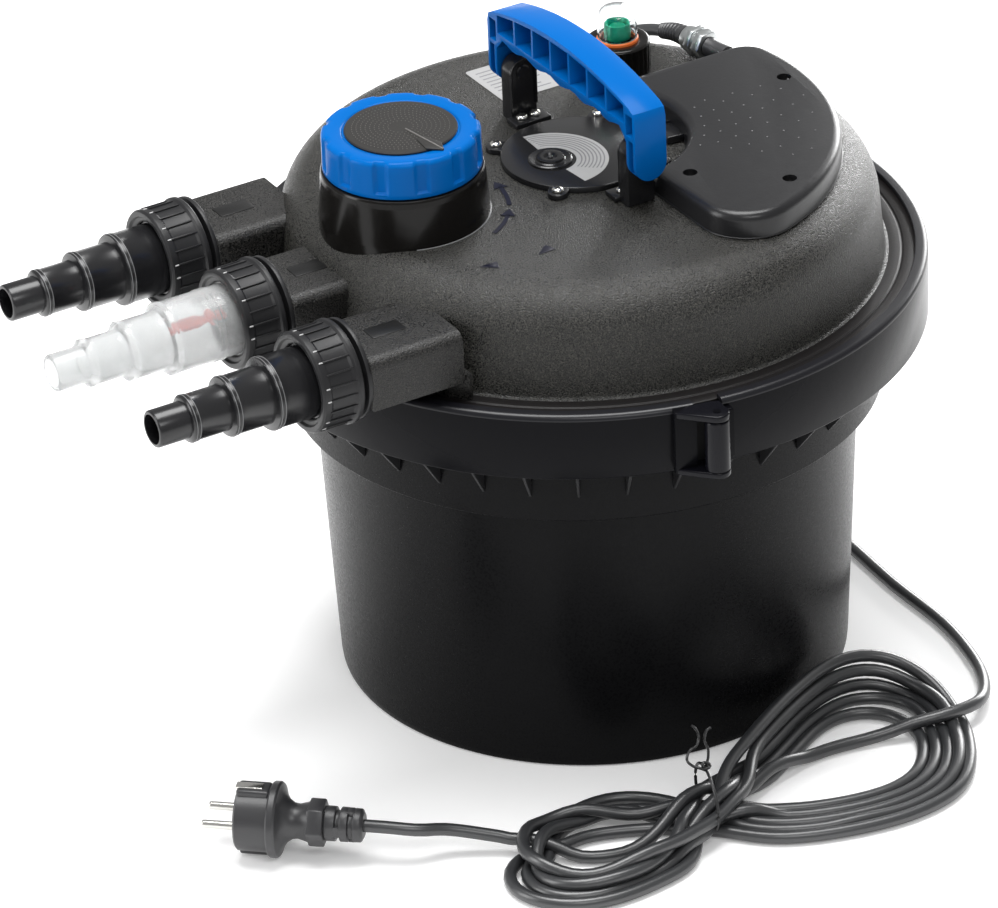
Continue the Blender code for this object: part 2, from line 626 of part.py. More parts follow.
def handle_cell(y0, y1, rise, half):
    """One pocket between two webs, under the arched top."""
    def top(y):
        return HANDLE_CROWN_Z - rise * (y / HANDLE_HALF) ** 2 - HANDLE_SKIN

    floor = HANDLE_UNDER_Z + 0.0012 + HANDLE_SKIN
    outline = [(y0, floor), (y1, floor), (y1, top(y1)), (y0, top(y0))]
    cell = prism("cell", outline, -half - 0.01, half - HANDLE_BACK)
    cell.data.transform(Matrix(((0, 0, 1, 0), (1, 0, 0, 0), (0, 1, 0, 0), (0, 0, 0, 1))))
    return cell


# ---------------------------------------------------------------- lid fittings
def cover_screw_places():
    return [(0.0475 * cos(radians(a)), 0.0475 * sin(radians(a))) for a in (45, 135, 225, 315)]


def make_centre_cover():
    z0 = LID_TOP + GAP
    cover = turned("centre_cover", [(0, z0), (COVER_R, z0), (COVER_R, COVER_TOP - 0.0008),
                                    (COVER_R - 0.0008, COVER_TOP), (0, COVER_TOP)], 32)
    for x, y in cover_screw_places():
        weld(cover, cylinder("ear", 0.0058, z0, COVER_TOP - 0.0004, 12, at=(x, y)))
        cut(cover, cylinder("hole", 0.0014, 0.30, 0.32, 10, at=(x, y)))
    boss = turned("boss", [(0, 0.3125), (0.0125, 0.3125), (0.0120, 0.3148), (0.0078, 0.3148), (0.0070, 0.3160),
                           (0.0030, 0.3160), (0.0030, 0.3150), (0, 0.3150)], 20)
    boss.location = (BOSS_X, 0.0, 0.0)
    return dress(weld(cover, boss), BLACK_PLASTIC, 0.35)


def make_screw(name, x, y, seat, radius, shank):
    """A pan-head screw standing on a seat, with a short shank in the hole below it."""
    z = seat + GAP
    profile = [(0, z - shank), (0.0011, z - shank), (0.0011, z), (radius, z), (radius, z + 0.0009),
               (radius * 0.7, z + 0.0018), (0, z + 0.0021)]
    screw = turned(name, profile, 10)
    screw.location = (x, y, 0.0)
    return dress(screw, STEEL, 0.3, 0.9)


def uvc_outline(inset):
    """The UV-C cover's plan: a quarter of a disc whose inner corner is cut away round the centre
    cover. Every side moves in by inset."""
    arc_r = UVC_ARC_R - inset
    notch = UVC_NOTCH_R + inset
    back = UVC_BACK_Y - inset
    left = UVC_LEFT_X + inset
    front_corner = 0.0280 - inset
    back_corner = 0.0170 - inset
    back_x = sqrt((arc_r - back_corner) ** 2 - (back - back_corner) ** 2)
    back_centre = (back_x, back - back_corner)
    front_y = -sqrt((arc_r - front_corner) ** 2 - (left + front_corner) ** 2)
    front_centre = (left + front_corner, front_y)
    outline = arc((0, 0), notch, asin(back / notch), -acos(left / notch), 10)
    outline += arc(front_centre, front_corner, -pi, atan2(front_centre[1], front_centre[0]), 5)
    sweep0 = atan2(front_centre[1], front_centre[0])
    sweep1 = atan2(back_centre[1], back_centre[0])
    outline += arc((0, 0), arc_r, sweep0, sweep1, 14)[1:-1]
    outline += arc(back_centre, back_corner, sweep1, pi / 2, 4)
    return outline


def make_uvc_cover():
    z0 = LID_TOP + GAP
    cover = prism("uvc_cover", uvc_outline(0.0), z0, UVC_TOP, 0.0050, 2)
    cut(cover, prism("pocket", uvc_outline(0.0055), z0 - 0.01, UVC_TOP - 0.0035))
    for x, y in UVC_SCREWS:
        weld(cover, cylinder("post", 0.0066, z0 + 0.0002, UVC_TOP - 0.0017, 13, at=(x, y)))
        cut(cover, cylinder("recess", 0.0040, UVC_TOP - 0.0080, UVC_TOP + 0.01, 14, at=(x, y)))
        cut(cover, cylinder("hole", 0.0014, 0.30, 0.33, 10, at=(x, y)))
    return dress(cover, BLACK_PLASTIC, 0.3)


def make_ballast():
    ballast = box("ballast", (0.0720, -0.0750, LID_TOP + GAP), (0.1060, 0.0250, UVC_TOP - 0.0040))
    return dress(ballast, (0.7, 0.7, 0.68), 0.5)


def make_quartz_sleeve():
    profile = [(0, 0.0600), (0.0150, 0.0620), (0.0150, 0.3010), (0.0240, 0.3010), (0.0240, 0.3055),
               (0.0128, 0.3055), (0.0128, 0.0640), (0, 0.0625)]
    return dress(turned("quartz_sleeve", profile, 24), (0.9, 0.92, 0.95), 0.05, 0.0, 0.3)


def make_uvc_lamp():
    profile = [(0, 0.0660), (0.0090, 0.0680), (0.0090, 0.2700), (0.0120, 0.2700), (0.0120, 0.3040), (0, 0.3040)]
    return dress(turned("uvc_lamp", profile, 20), (0.9, 0.9, 0.92), 0.2)


def make_indicator():
    x, y = INDICATOR_XY
    z0 = LID_TOP + GAP
    collar = turned("indicator_collar", [(0.0118, z0), (0.0180, z0), (0.0186, z0 + 0.0010), (0.0186, 0.3288),
                                         (0.0176, 0.3300), (0.0123, 0.3300), (0.0123, 0.3270), (0.0118, 0.3270)], 28)
    seal = turned("indicator_seal", [(0.0098, 0.3274), (0.0120, 0.3274), (0.0120, 0.3316), (0.0098, 0.3316)], 20)
    outer = [(0.0115, 0.3320), (0.0115, 0.3450), (0.0104, 0.3488), (0.0062, 0.3516), (0, 0.3522)]
    inner = [(0, 0.3507), (0.0058, 0.3501), (0.0092, 0.3478), (0.0100, 0.3446), (0.0100, 0.3320)]
    dome = turned("indicator_dome", outer + inner, 20)
    float_profile = [(0, 0.3112), (0.0020, 0.3112), (0.0020, 0.3310), (0.0077, 0.3310), (0.0077, 0.3398),
                     (0.0070, 0.3406), (0.0058, 0.3406), (0.0055, 0.3370), (0, 0.3370)]
    cup = turned("indicator_float", float_profile, 16)
    for piece in (collar, seal, dome, cup):
        piece.location = (x, y, 0.0)
    dress(collar, (0.01, 0.01, 0.01), 0.2)
    dress(seal, (0.80, 0.22, 0.03), 0.45)
    dress(dome, (0.92, 0.95, 0.97), 0.05, 0.0, 0.3)
    dress(cup, (0.0, 0.42, 0.25), 0.4)


# ---------------------------------------------------------------- cable gland
def gland_axis(distance, drop=0.0):
    heading = Vector((cos(GLAND_HEADING), sin(GLAND_HEADING), 0.0))
    return GLAND_START + heading * distance - Vector((0.0, 0.0, drop))


def lay_on_gland(obj):
    obj.rotation_euler = (radians(90), 0.0, GLAND_HEADING + radians(90))
    obj.location = GLAND_START
    return obj


def boot_path():
    """The boot's centre line: straight out of the nut, then bending down."""
    points = [gland_axis(BOOT_START), gland_axis(BOOT_START + 0.0040)]
    for i in range(1, 7):
        a = BOOT_BEND * i / 6
        points.append(gland_axis(BOOT_START + 0.0040 + BOOT_BEND_R * sin(a), BOOT_BEND_R * (1 - cos(a))))
    end = points[-1]
    away = (points[-1] - points[-2]).normalized()
    points.append(end + away * 0.0050)
    return points


def make_gland():
    body = turned("gland_body", [(0, 0.0), (0.0052, 0.0), (0.0050, 0.0060), (0.0060, 0.0150), (0, 0.0150)], 24)
    nut_r = 0.0095
    hexagon = [(nut_r * cos(pi / 3 * i), nut_r * sin(pi / 3 * i)) for i in range(6)]
    nut = prism("gland_nut", hexagon, 0.0153, 0.0260)
    weld(nut, cylinder("nut_dome", 0.0076, 0.0250, 0.0340, 24))
    for piece in (body, nut):
        lay_on_gland(piece)
    path = boot_path()
    radii = [0.0062, 0.0062] + [0.0060 - 0.0002 * i for i in range(6)] + [0.0046]
    boot = tube_along("gland_boot", path, radii, 12)
    dress(body, (0.012, 0.012, 0.012), 0.55)
    dress(nut, (0.55, 0.56, 0.56), 0.35, 0.9)
    dress(boot, (0.012, 0.012, 0.012), 0.6)


# ---------------------------------------------------------------- inside the tub
def make_filter_media():
    """Two foam rings round the quartz sleeve and the plate that holds them down."""
    bore, outside = SPONGE_R
    z0, z1, z2 = SPONGE_Z
    lower = turned("sponge_lower", [(bore, z0), (outside, z0), (outside, z1 - GAP), (bore, z1 - GAP)], 24)
    upper = turned("sponge_upper", [(bore, z1), (outside, z1), (outside, z2), (bore, z2)], 24)
    rim = outside + 0.0030
    plate = turned("sponge_plate", [(bore, z2 + GAP), (rim, z2 + GAP), (rim, z2 + 0.0030), (bore, z2 + 0.0030)], 24)
    dress(lower, (0.02, 0.05, 0.12), 0.95)
    dress(upper, (0.10, 0.10, 0.11), 0.95)
    dress(plate, BLACK_PLASTIC, 0.5)


# ---------------------------------------------------------------- mains cable
def smooth_path(points, step):
    """Points about one step apart on a Catmull-Rom curve through the given points."""
    ends = [2 * points[0] - points[1]] + points + [2 * points[-1] - points[-2]]
    dense = []
    for p0, p1, p2, p3 in zip(ends, ends[1:], ends[2:], ends[3:]):
        for i in range(40):
            t = i / 40
            dense.append(0.5 * (2 * p1 + (p2 - p0) * t + (2 * p0 - 5 * p1 + 4 * p2 - p3) * t ** 2
                                + (3 * p1 - p0 - 3 * p2 + p3) * t ** 3))
    dense.append(points[-1])
    total = sum((b - a).length for a, b in zip(dense, dense[1:]))
    count = max(2, round(total / step))
    spaced = [dense[0]]
    walked = 0.0
    for a, b in zip(dense, dense[1:]):
        walked += (b - a).length
        if walked >= total * len(spaced) / count - 1e-9:
            spaced.append(b)
    return spaced


def make_cord(name, points):
    """A cable through the given points that never dips below the floor."""
    curve = bpy.data.curves.new(name, "CURVE")
    curve.dimensions = "3D"
    curve.bevel_depth = CORD_D / 2
    curve.bevel_resolution = 2
    curve.use_fill_caps = True
    path = smooth_path(points, 2.5 * CORD_D)
    spline = curve.splines.new("POLY")
    spline.points.add(len(path) - 1)
    for point, place in zip(spline.points, path):
        point.co = (place.x, place.y, max(place.z, FLOOR_Z), 1.0)
    obj = bpy.data.objects.new(name, curve)
    bpy.context.scene.collection.objects.link(obj)
    return dress(obj, (0.02, 0.02, 0.021), 0.5)


def closed_smooth(points, steps):
    """A closed Catmull-Rom outline through the given points."""
    count = len(points)
    result = []
    for i in range(count):
        p0, p1, p2, p3 = [Vector(points[(i + k) % count]) for k in (-1, 0, 1, 2)]
        for s in range(steps):
            t = s / steps
            place = 0.5 * (2 * p1 + (p2 - p0) * t + (2 * p0 - 5 * p1 + 4 * p2 - p3) * t ** 2
                           + (3 * p1 - p0 - 3 * p2 + p3) * t ** 3)
            result.append((place.x, place.y))
    return result


def make_hank():
    hank = prism("cable_hank", closed_smooth(HANK_OUTLINE, 2), HANK_Z[0], HANK_Z[1], 0.0060, 2)
    return dress(hank, (0.02, 0.02, 0.021), 0.5)


def make_cable_tie():
    """A wire loop round the hank's waist with its twisted end standing up."""
    half_y = 0.0250
    wire = 0.0014
    low, high = 0.0003, HANK_Z[1] + GAP + wire
    x, y = TIE_XY
    outer = box("cable_tie", (x - 0.0015, y - half_y, low), (x + 0.0015, y + half_y, high))
    hole = box("hole", (x - 0.01, y - half_y + wire, low + wire), (x + 0.01, y + half_y - wire, high - wire))
    cut(outer, hole)
    weld(outer, cylinder("twist", 0.0014, high - 0.0005, high + 0.0120, 8, at=(x, y)))
    return dress(outer, (0.01, 0.01, 0.01), 0.4)


def cable_route():
    """From the boot over the band behind the lid, down to the floor and round the tub's right side."""
    path = boot_path()
    away = (path[-1] - path[-2]).normalized()
    start = path[-1] + away * GAP
    return [start, start + away * 0.0150, Vector((0.1045, 0.1330, 0.3012)),
            Vector((0.0960, 0.1480, 0.2860)), Vector((0.0850, 0.1780, 0.2680)),
            Vector((0.0760, 0.2040, 0.2560)), Vector((0.0680, 0.2240, 0.2300)), Vector((0.0650, 0.2300, 0.1900)),
            Vector((0.0700, 0.2290, 0.1300)), Vector((0.0850, 0.2240, 0.0600)), Vector((0.1050, 0.2140, 0.0200)),
            Vector((0.1320, 0.1950, FLOOR_Z)), Vector((0.1600, 0.1550, FLOOR_Z)), Vector((0.1740, 0.1000, FLOOR_Z)),
            Vector((0.1750, 0.0400, FLOOR_Z)), Vector((0.1716, -0.0120, FLOOR_Z)),
            Vector((0.1685, -0.0810, FLOOR_Z)), Vector((0.1670, -0.1300, FLOOR_Z)),
            Vector((0.1620, -0.1640, 0.0050)), Vector((0.1500, -0.1860, 0.0080)),
            HANK_IN + Vector((0.0120, -0.0018, 0.0)), HANK_IN]


def make_plug_lead():
    heading = Vector((cos(PLUG_HEADING), sin(PLUG_HEADING), 0.0))
    end = PLUG_TAIL - heading * GAP
    return make_cord("plug_lead", [HANK_OUT, HANK_OUT + Vector((-0.0110, 0.0071, 0.0)),
                                   end - heading * 0.0300 - Vector((0.0, 0.0, 0.0010)), end - heading * 0.0140, end])


def make_plug():
    profile = [(0, 0.0), (0.0078, 0.0), (0.0094, 0.0020), (0.0096, 0.0200), (0.0120, 0.0215), (0.0128, 0.0230),
               (0.0128, 0.0310), (0.0105, 0.0335), (0.0097, 0.0370), (0.0105, 0.0410), (0.0150, 0.0450),
               (0.0205, 0.0470), (0.0214, 0.0485), (0.0212, 0.0515), (0.0186, 0.0525), (0.0184, 0.0700),
               (0.0176, 0.0710), (0, 0.0710)]
    body = turned("plug_body", profile, 20)
    quarter = Matrix.Rotation(PLUG_HEADING, 4, "Z") @ Matrix.Rotation(radians(90), 4, "Y")
    body.matrix_world = Matrix.Translation(PLUG_TAIL) @ quarter
    dress(body, (0.02, 0.02, 0.021), 0.45)
    for name, side in (("plug_pin_1", 1), ("plug_pin_2", -1)):
        pin = turned(name, [(0, 0.0713), (0.0024, 0.0713), (0.0024, 0.0888), (0.0016, 0.0900), (0, 0.0900)], 14)
        pin.data.transform(Matrix.Translation((0.0, 0.0095 * side, 0.0)))
        pin.matrix_world = Matrix.Translation(PLUG_TAIL) @ quarter
        dress(pin, STEEL, 0.3, 0.9)


# ---------------------------------------------------------------- assembly
def make_screws():
    for i, (x, y) in enumerate(cover_screw_places(), 1):
        make_screw(f"cover_screw_{i}", x, y, COVER_TOP - 0.0004, 0.0033, 0.0030)
    number = 1
    for side in (-1, 1):
        for x in BRACKET_SCREW_XS:
            make_screw(f"bracket_screw_{number}", x, side * BRACKET_SCREW_Y, LID_TOP + GAP + 0.0030, 0.0033, 0.0025)
            number += 1
    for i, (x, y) in enumerate(UVC_SCREWS, 1):
        make_screw(f"uvc_screw_{i}", x, y, UVC_TOP - 0.0080, 0.0034, 0.0030)


def main():
    clear_scene()
    make_tub()
    make_lid()
    make_gasket()
    make_band_left()
    make_band_right()
    make_hinge_pin()
    make_latch_lever()
    for key, y in PIPE_YS.items():
        make_union_nut(key, y)
        make_tail_gasket(key, y)
    make_tail("a", PIPE_YS["a"])
    make_sight_tail()
    make_tail("c", PIPE_YS["c"])
    make_flow_flap()
    make_valve_housing()
    make_dial_ring()
    make_dial_disc()
    make_valve_rotor()
    make_bracket("a", -1)
    make_bracket("c", 1)
    make_handle()
    make_centre_cover()
    make_uvc_cover()
    make_screws()
    make_ballast()
    make_quartz_sleeve()
    make_uvc_lamp()
    make_indicator()
    make_gland()
    make_filter_media()
    make_cord("mains_cable", cable_route())
    make_hank()
    make_cable_tie()
    make_plug_lead()
    make_plug()


main()
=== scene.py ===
"""Looks of the pond filter: detailed pieces, materials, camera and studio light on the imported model."""

from math import acos, asin, atan2, cos, pi, radians, sin, sqrt, tan

import bmesh
import bpy
import numpy as np
from mathutils import Matrix, Vector


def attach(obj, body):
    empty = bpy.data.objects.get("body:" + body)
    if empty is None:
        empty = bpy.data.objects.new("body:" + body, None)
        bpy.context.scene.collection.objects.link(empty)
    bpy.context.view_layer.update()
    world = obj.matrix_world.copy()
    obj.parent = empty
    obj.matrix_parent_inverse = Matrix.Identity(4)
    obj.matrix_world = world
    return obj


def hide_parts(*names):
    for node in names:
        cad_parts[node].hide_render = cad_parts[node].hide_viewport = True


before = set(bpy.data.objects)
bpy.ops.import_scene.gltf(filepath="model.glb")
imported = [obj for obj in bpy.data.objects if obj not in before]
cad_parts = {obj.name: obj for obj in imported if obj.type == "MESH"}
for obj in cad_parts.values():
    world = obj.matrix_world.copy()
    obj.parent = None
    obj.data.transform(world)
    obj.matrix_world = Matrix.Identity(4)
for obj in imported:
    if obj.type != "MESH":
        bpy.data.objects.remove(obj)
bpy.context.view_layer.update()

IDENTITY = Matrix.Identity(4)
WHITE = (1.0, 1.0, 1.0, 1.0)
# the point that the lights face
CENTRE = Vector((0, 0, 0.2))
# places that the pieces share with the CAD, in metres and radians
NUT_X = -0.204
PIPE_Z = 0.277
PIPES = {"a": -0.085, "b": 0, "c": 0.085}
HINGE = radians(-100.5)
HINGE_R = 0.2058
LATCH = HINGE + pi
DIAL_X = -0.112
PIVOT_Z = 0.339
LID_TOP = 0.3095
SEAT = 0.3098
UVC_SCREW_SEAT = 0.3173
CORD_D = 0.0073
TAIL_RADII = (0.0202, 0.0165, 0.013, 0.0105)
TAIL_STEPS = (0.0474, 0.0718, 0.0952, 0.1144)
SIGHT_STEPS = (0.0636, 0.088, 0.1114, 0.1304)
FLAP_PIVOT = (-0.237, 0, 0.281)
POINTER = radians(-81.5)
SCREW_ANGLES = tuple(radians(a) for a in (45, 135, 225, 315))
BOSS_X = -0.018
UVC_SCREWS = ((0.1319, -0.0078), (0.0264, -0.0764), (0.0679, -0.1133))


# ---- camera, light and floor
def new_object(name, data):
    obj = bpy.data.objects.new(name, data)
    bpy.context.scene.collection.objects.link(obj)
    return obj


def add_camera():
    """A long lens from the front left, well above the lid."""
    heading, pitch, roll = radians(60.5), 0.52, -0.0424
    ahead = Vector((cos(heading) * cos(pitch), sin(heading) * cos(pitch), -sin(pitch)))
    level = Vector((sin(heading), -cos(heading), 0))
    up = level.cross(ahead)
    right = level * cos(roll) + up * sin(roll)
    top = up * cos(roll) - level * sin(roll)
    camera = new_object("camera", bpy.data.cameras.new("camera"))
    camera.data.lens = 252.5
    camera.data.sensor_width = 36.0
    camera.data.clip_end = 30.0
    rows = [(right[i], top[i], -ahead[i], 0) for i in range(3)] + [(0, 0, 0, 1.0)]
    camera.matrix_world = Matrix.Translation((-1.7558, -2.9994, 2.1106)) @ Matrix(rows)
    bpy.context.scene.camera = camera


def add_light(name, place, size, power):
    """An area light that faces the middle of the filter."""
    data = bpy.data.lights.new(name, "AREA")
    data.shape = "RECTANGLE"
    data.size, data.size_y = size
    data.energy = power
    light = new_object(name, data)
    light.location = place
    light.rotation_euler = (CENTRE - Vector(place)).to_track_quat("-Z", "Y").to_euler()
    light.visible_camera = False


def add_studio():
    """A white world, four soft lights and a pale floor that gives off a little light of its own."""
    bpy.context.scene.view_settings.view_transform = "Standard"
    world = bpy.data.worlds.new("studio")
    bpy.context.scene.world = world
    world.use_nodes = True
    set_inputs(world.node_tree.nodes["Background"], Color=WHITE, Strength=0.42)
    add_light("top", (0, 0.2, 2.4), (1.8, 1.2), 74.0)
    add_light("left", (-2.3, 0.5, 1.0), (0.8, 1.6), 27.0)
    add_light("rim", (2.1, 1.3, 0.72), (1.4, 0.9), 54.0)
    add_light("front", (-0.8, -2.4, 2.6), (1.6, 0.8), 26.0)
    floor = new_object("floor", plane_mesh(6.0))
    floor.location = (0, 0, -0.0005)
    pale = material("floor", (0.94, 0.94, 0.94), 0.9, specular=0, Emission_Color=WHITE,
        Emission_Strength=0.16)
    floor.data.materials.append(pale)


def plane_mesh(half):
    """A flat square round the origin."""
    mesh = bpy.data.meshes.new("plane")
    corners = [(-half, -half, 0), (half, -half, 0), (half, half, 0), (-half, half, 0)]
    mesh.from_pydata(corners, [], [(0, 1, 2, 3)])
    return mesh


# ---- materials
def set_inputs(node, **values):
    for key, value in values.items():
        node.inputs[key.replace("_", " ")].default_value = value


def material(name, colour, roughness, metallic=0, specular=0.5, grain=None, speckle=0, grain_and_glint_tint=None,
        **inputs):
    """A Principled material. grain is (scale per metre, height in metres, detail) of a noise. The noise
    may move the roughness by speckle each way, and the colour towards grain_and_glint_tint on its high
    spots: light speckles that are partly the grain's own colour and partly painted glints."""
    mat = bpy.data.materials.new(name)
    mat.use_nodes = True
    nodes, links = mat.node_tree.nodes, mat.node_tree.links
    shader = nodes["Principled BSDF"]
    set_inputs(shader, Base_Color=(*colour, 1.0), Roughness=roughness, Metallic=metallic,
        Specular_IOR_Level=specular, **inputs)
    if grain:
        scale, height, detail = grain
        place = nodes.new("ShaderNodeTexCoord")
        noise = nodes.new("ShaderNodeTexNoise")
        set_inputs(noise, Scale=scale, Detail=detail)
        bump = nodes.new("ShaderNodeBump")
        set_inputs(bump, Strength=1.0, Distance=height)
        links.new(place.outputs["Object"], noise.inputs["Vector"])
        links.new(noise.outputs["Fac"], bump.inputs["Height"])
        links.new(bump.outputs["Normal"], shader.inputs["Normal"])
        if speckle:
            ramp = nodes.new("ShaderNodeMapRange")
            set_inputs(ramp, From_Min=0.35, From_Max=0.65, To_Min=max(0, roughness - speckle),
                To_Max=min(1.0, roughness + speckle))
            links.new(noise.outputs["Fac"], ramp.inputs["Value"])
            links.new(ramp.outputs["Result"], shader.inputs["Roughness"])
        if grain_and_glint_tint:
            mix = nodes.new("ShaderNodeValToRGB")
            for stop, position, shade in zip(mix.color_ramp.elements, (0.47, 0.74), (colour, grain_and_glint_tint)):
                stop.position = position
                stop.color = (*shade, 1.0)
            links.new(noise.outputs["Fac"], mix.inputs["Fac"])
            links.new(mix.outputs["Color"], shader.inputs["Base Color"])
    return mat


MOULDED = material("moulded_black", (0.012, 0.012, 0.013), 0.4, specular=0.3, grain=(500, 0.00004, 2))
SATIN = material("satin_black", (0.01, 0.01, 0.011), 0.25, specular=0.45, grain=(300, 0.00002, 2))
TUB = material("tub_black", (0.003, 0.003, 0.0034), 0.3, specular=0.07, grain=(700, 0.00003, 3),
    speckle=0.06)
# light speckles on the grain's high spots: partly the grain's own colour, partly painted glints
GRAINED = material("grained_lid", (0.0035, 0.0035, 0.003), 0.38, specular=0.42, grain=(1250, 0.0006, 1),
    speckle=0.2, grain_and_glint_tint=(0.056, 0.054, 0.046))
GLOSSY = material("glossy_black", (0.006, 0.0055, 0.005), 0.18, specular=0.2, grain=(60, 0.0003, 1))
BLUE = material("blue", (0.0002, 0.098, 0.36), 0.24, specular=0.06, grain=(400, 0.00001, 1))
DISC = material("dial_face", (0.018, 0.017, 0.016), 0.4, specular=0.35, grain=(900, 0.00004, 1))
PRINT = material("print", (0.2, 0.2, 0.21), 0.5)
RUBBER = material("rubber", (0.024, 0.024, 0.026), 0.38, specular=0.65, grain=(900, 0.00003, 1))
CABLE = material("cable", (0.026, 0.027, 0.029), 0.34, specular=0.85, grain=(1200, 0.00003, 1))
STEEL = material("steel", (0.66, 0.65, 0.62), 0.22, metallic=1.0)
ZINC = material("zinc", (0.56, 0.58, 0.58), 0.3, metallic=1.0, grain=(300, 0.00006, 2))
# matte near-black for painted shade in the screws' cross recesses and the slot by the hinge
PAINTED_SHADE = material("recess", (0.002, 0.002, 0.002), 0.8)
SILVER = material("label", (0.55, 0.55, 0.55), 0.35, metallic=0.6)
CLEAR = material("clear_tail", (0.78, 0.79, 0.79), 0.2, Transmission_Weight=0.73, IOR=1.3)
DOME = material("clear_dome", (0.86, 0.89, 0.9), 0.03, Transmission_Weight=1.0, IOR=1.48)
RED = material("red", (0.8, 0.05, 0.02), 0.35)
GREEN = material("green", (0, 0.36, 0.2), 0.35)
ORANGE = material("orange", (0.7, 0.14, 0.02), 0.45)
WIRE = material("tie_wire", (0.01, 0.01, 0.011), 0.35)
FOAM = material("foam", (0.02, 0.03, 0.06), 0.95, grain=(400, 0.0015, 4))
CERAMIC = material("pale_parts", (0.55, 0.55, 0.53), 0.5)
DISC_EDGE = material("dial_print", (0.12, 0.115, 0.11), 0.45)
UVC = material("uvc_black", (0.01, 0.01, 0.011), 0.3, specular=0.36, grain=(500, 0.00003, 2),
    speckle=0.02)
DOT = material("dots", (0.1, 0.1, 0.1), 0.5)
FLANGE = material("flange", (0.006, 0.005, 0.005), 0.36, specular=0.22, grain=(500, 0.00005, 2))
# light speckles on the grain's high spots: partly the grain's own colour, partly painted glints
HOUSING = material("stub_housing", (0.003, 0.003, 0.003), 0.4, specular=0.38, grain=(1250, 0.00045, 1),
    speckle=0.16, grain_and_glint_tint=(0.04, 0.038, 0.034))
PANEL = material("stub_panel", (0.006, 0.006, 0.006), 0.38, specular=0.3, grain=(900, 0.0001, 2))
MARK = material("lid_marks", (0.006, 0.006, 0.014), 0.3, specular=0.4)
BAND = material("band_black", (0.003, 0.003, 0.004), 0.24, specular=0.06, grain=(120, 0.00006, 1))
# a lighter, shinier copy of the band's black for its lip: a painted highlight along the top edge
BAND_LIP_HIGHLIGHT = material("band_lip_painted_highlight", (0.005, 0.005, 0.007), 0.3, specular=0.34)
KNUCKLE = material("hinge_black", (0.004, 0.004, 0.006), 0.22, specular=0.16)
# pale grey for the rings at the black tails' steps, which are painted highlights, and for the dial
# housing's seam
RING = material("pale_seam_and_painted_highlight", (0.14, 0.142, 0.145), 0.3)
# pale grey for the pips at the nuts' rib ends: painted highlights
RIB_END_HIGHLIGHT = material("painted_rib_end_highlight", (0.42, 0.42, 0.42), 0.4)


# ---- solids
def arc(centre, radius, a0, a1, steps):
    """Points of an arc from angle a0 to a1, both ends included."""
    angles = [a0 + (a1 - a0) * i / steps for i in range(steps + 1)]
    return [(centre[0] + radius * cos(a), centre[1] + radius * sin(a)) for a in angles]


NEARLY_STRAIGHT = 0.02
MOST_OF_SIDE = 0.48


def rounded(points, radius, steps=4, closed=True):
    """The outline with its corners turned into arcs. radius is one number or one for each corner."""
    result = []
    count = len(points)
    for i, point in enumerate(points):
        r = radius[i] if isinstance(radius, (list, tuple)) else radius
        if r <= 0 or (not closed and i in (0, count - 1)):
            result.append(tuple(point))
            continue
        corner = Vector(point)
        back, on = Vector(points[i - 1]) - corner, Vector(points[(i + 1) % count]) - corner
        back_length, on_length = back.length, on.length
        back.normalize()
        on.normalize()
        angle = acos(max(-1.0, min(1.0, back.dot(on))))
        if not NEARLY_STRAIGHT < angle < pi - NEARLY_STRAIGHT:
            result.append(tuple(point))
            continue
        reach = min(r / tan(angle / 2), MOST_OF_SIDE * back_length, MOST_OF_SIDE * on_length)
        r = reach * tan(angle / 2)
        centre = corner + (back + on).normalized() * (r / sin(angle / 2))
        first, last = corner + back * reach - centre, corner + on * reach - centre
        a0 = atan2(first.y, first.x)
        turn = (atan2(last.y, last.x) - a0 + pi) % (2 * pi) - pi
        result += arc(centre, r, a0, a0 + turn, steps)
    return result


def flat_mm(*points, z=0):
    """Pairs in millimetres, as pairs in metres. z, in metres, is added to the second number."""
    return [(a / 1000, z + b / 1000) for a, b in points]


def rotation(angle, axis="Z"):
    return Matrix.Rotation(angle, 4, axis)


def pipe_frame(y):
    """Local +Z runs along a pipe, away from the tub, from the rear of its nut."""
    return Matrix.Translation((NUT_X, y, PIPE_Z)) @ rotation(radians(-90), "Y")


def at(x, y, z=0):
    return Matrix.Translation((x, y, z))


def polar(radius, angle):
    return radius * cos(angle), radius * sin(angle)


def drilled(part, holes):
    """The solid with round holes sunk from above. A hole is (x, y, radius, floor)."""
    tool = bmesh.new()
    for x, y, radius, z in holes:
        pin = bmesh.ops.create_cone(tool, cap_ends=True, segments=40, radius1=radius, radius2=radius,
            depth=0.04)
        bmesh.ops.translate(tool, verts=pin["verts"], vec=(x, y, z + 0.02))
    objects = []
    for bm in (part, tool):
        mesh = bpy.data.meshes.new("drill")
        bm.to_mesh(mesh)
        bm.free()
        objects.append(new_object("drill", mesh))
    cutter = objects[0].modifiers.new("holes", "BOOLEAN")
    cutter.object = objects[1]
    cutter.operation = "DIFFERENCE"
    bpy.context.view_layer.update()
    result = bmesh.new()
    result.from_object(objects[0], bpy.context.evaluated_depsgraph_get())
    for obj in objects:
        bpy.data.objects.remove(obj)
    return result


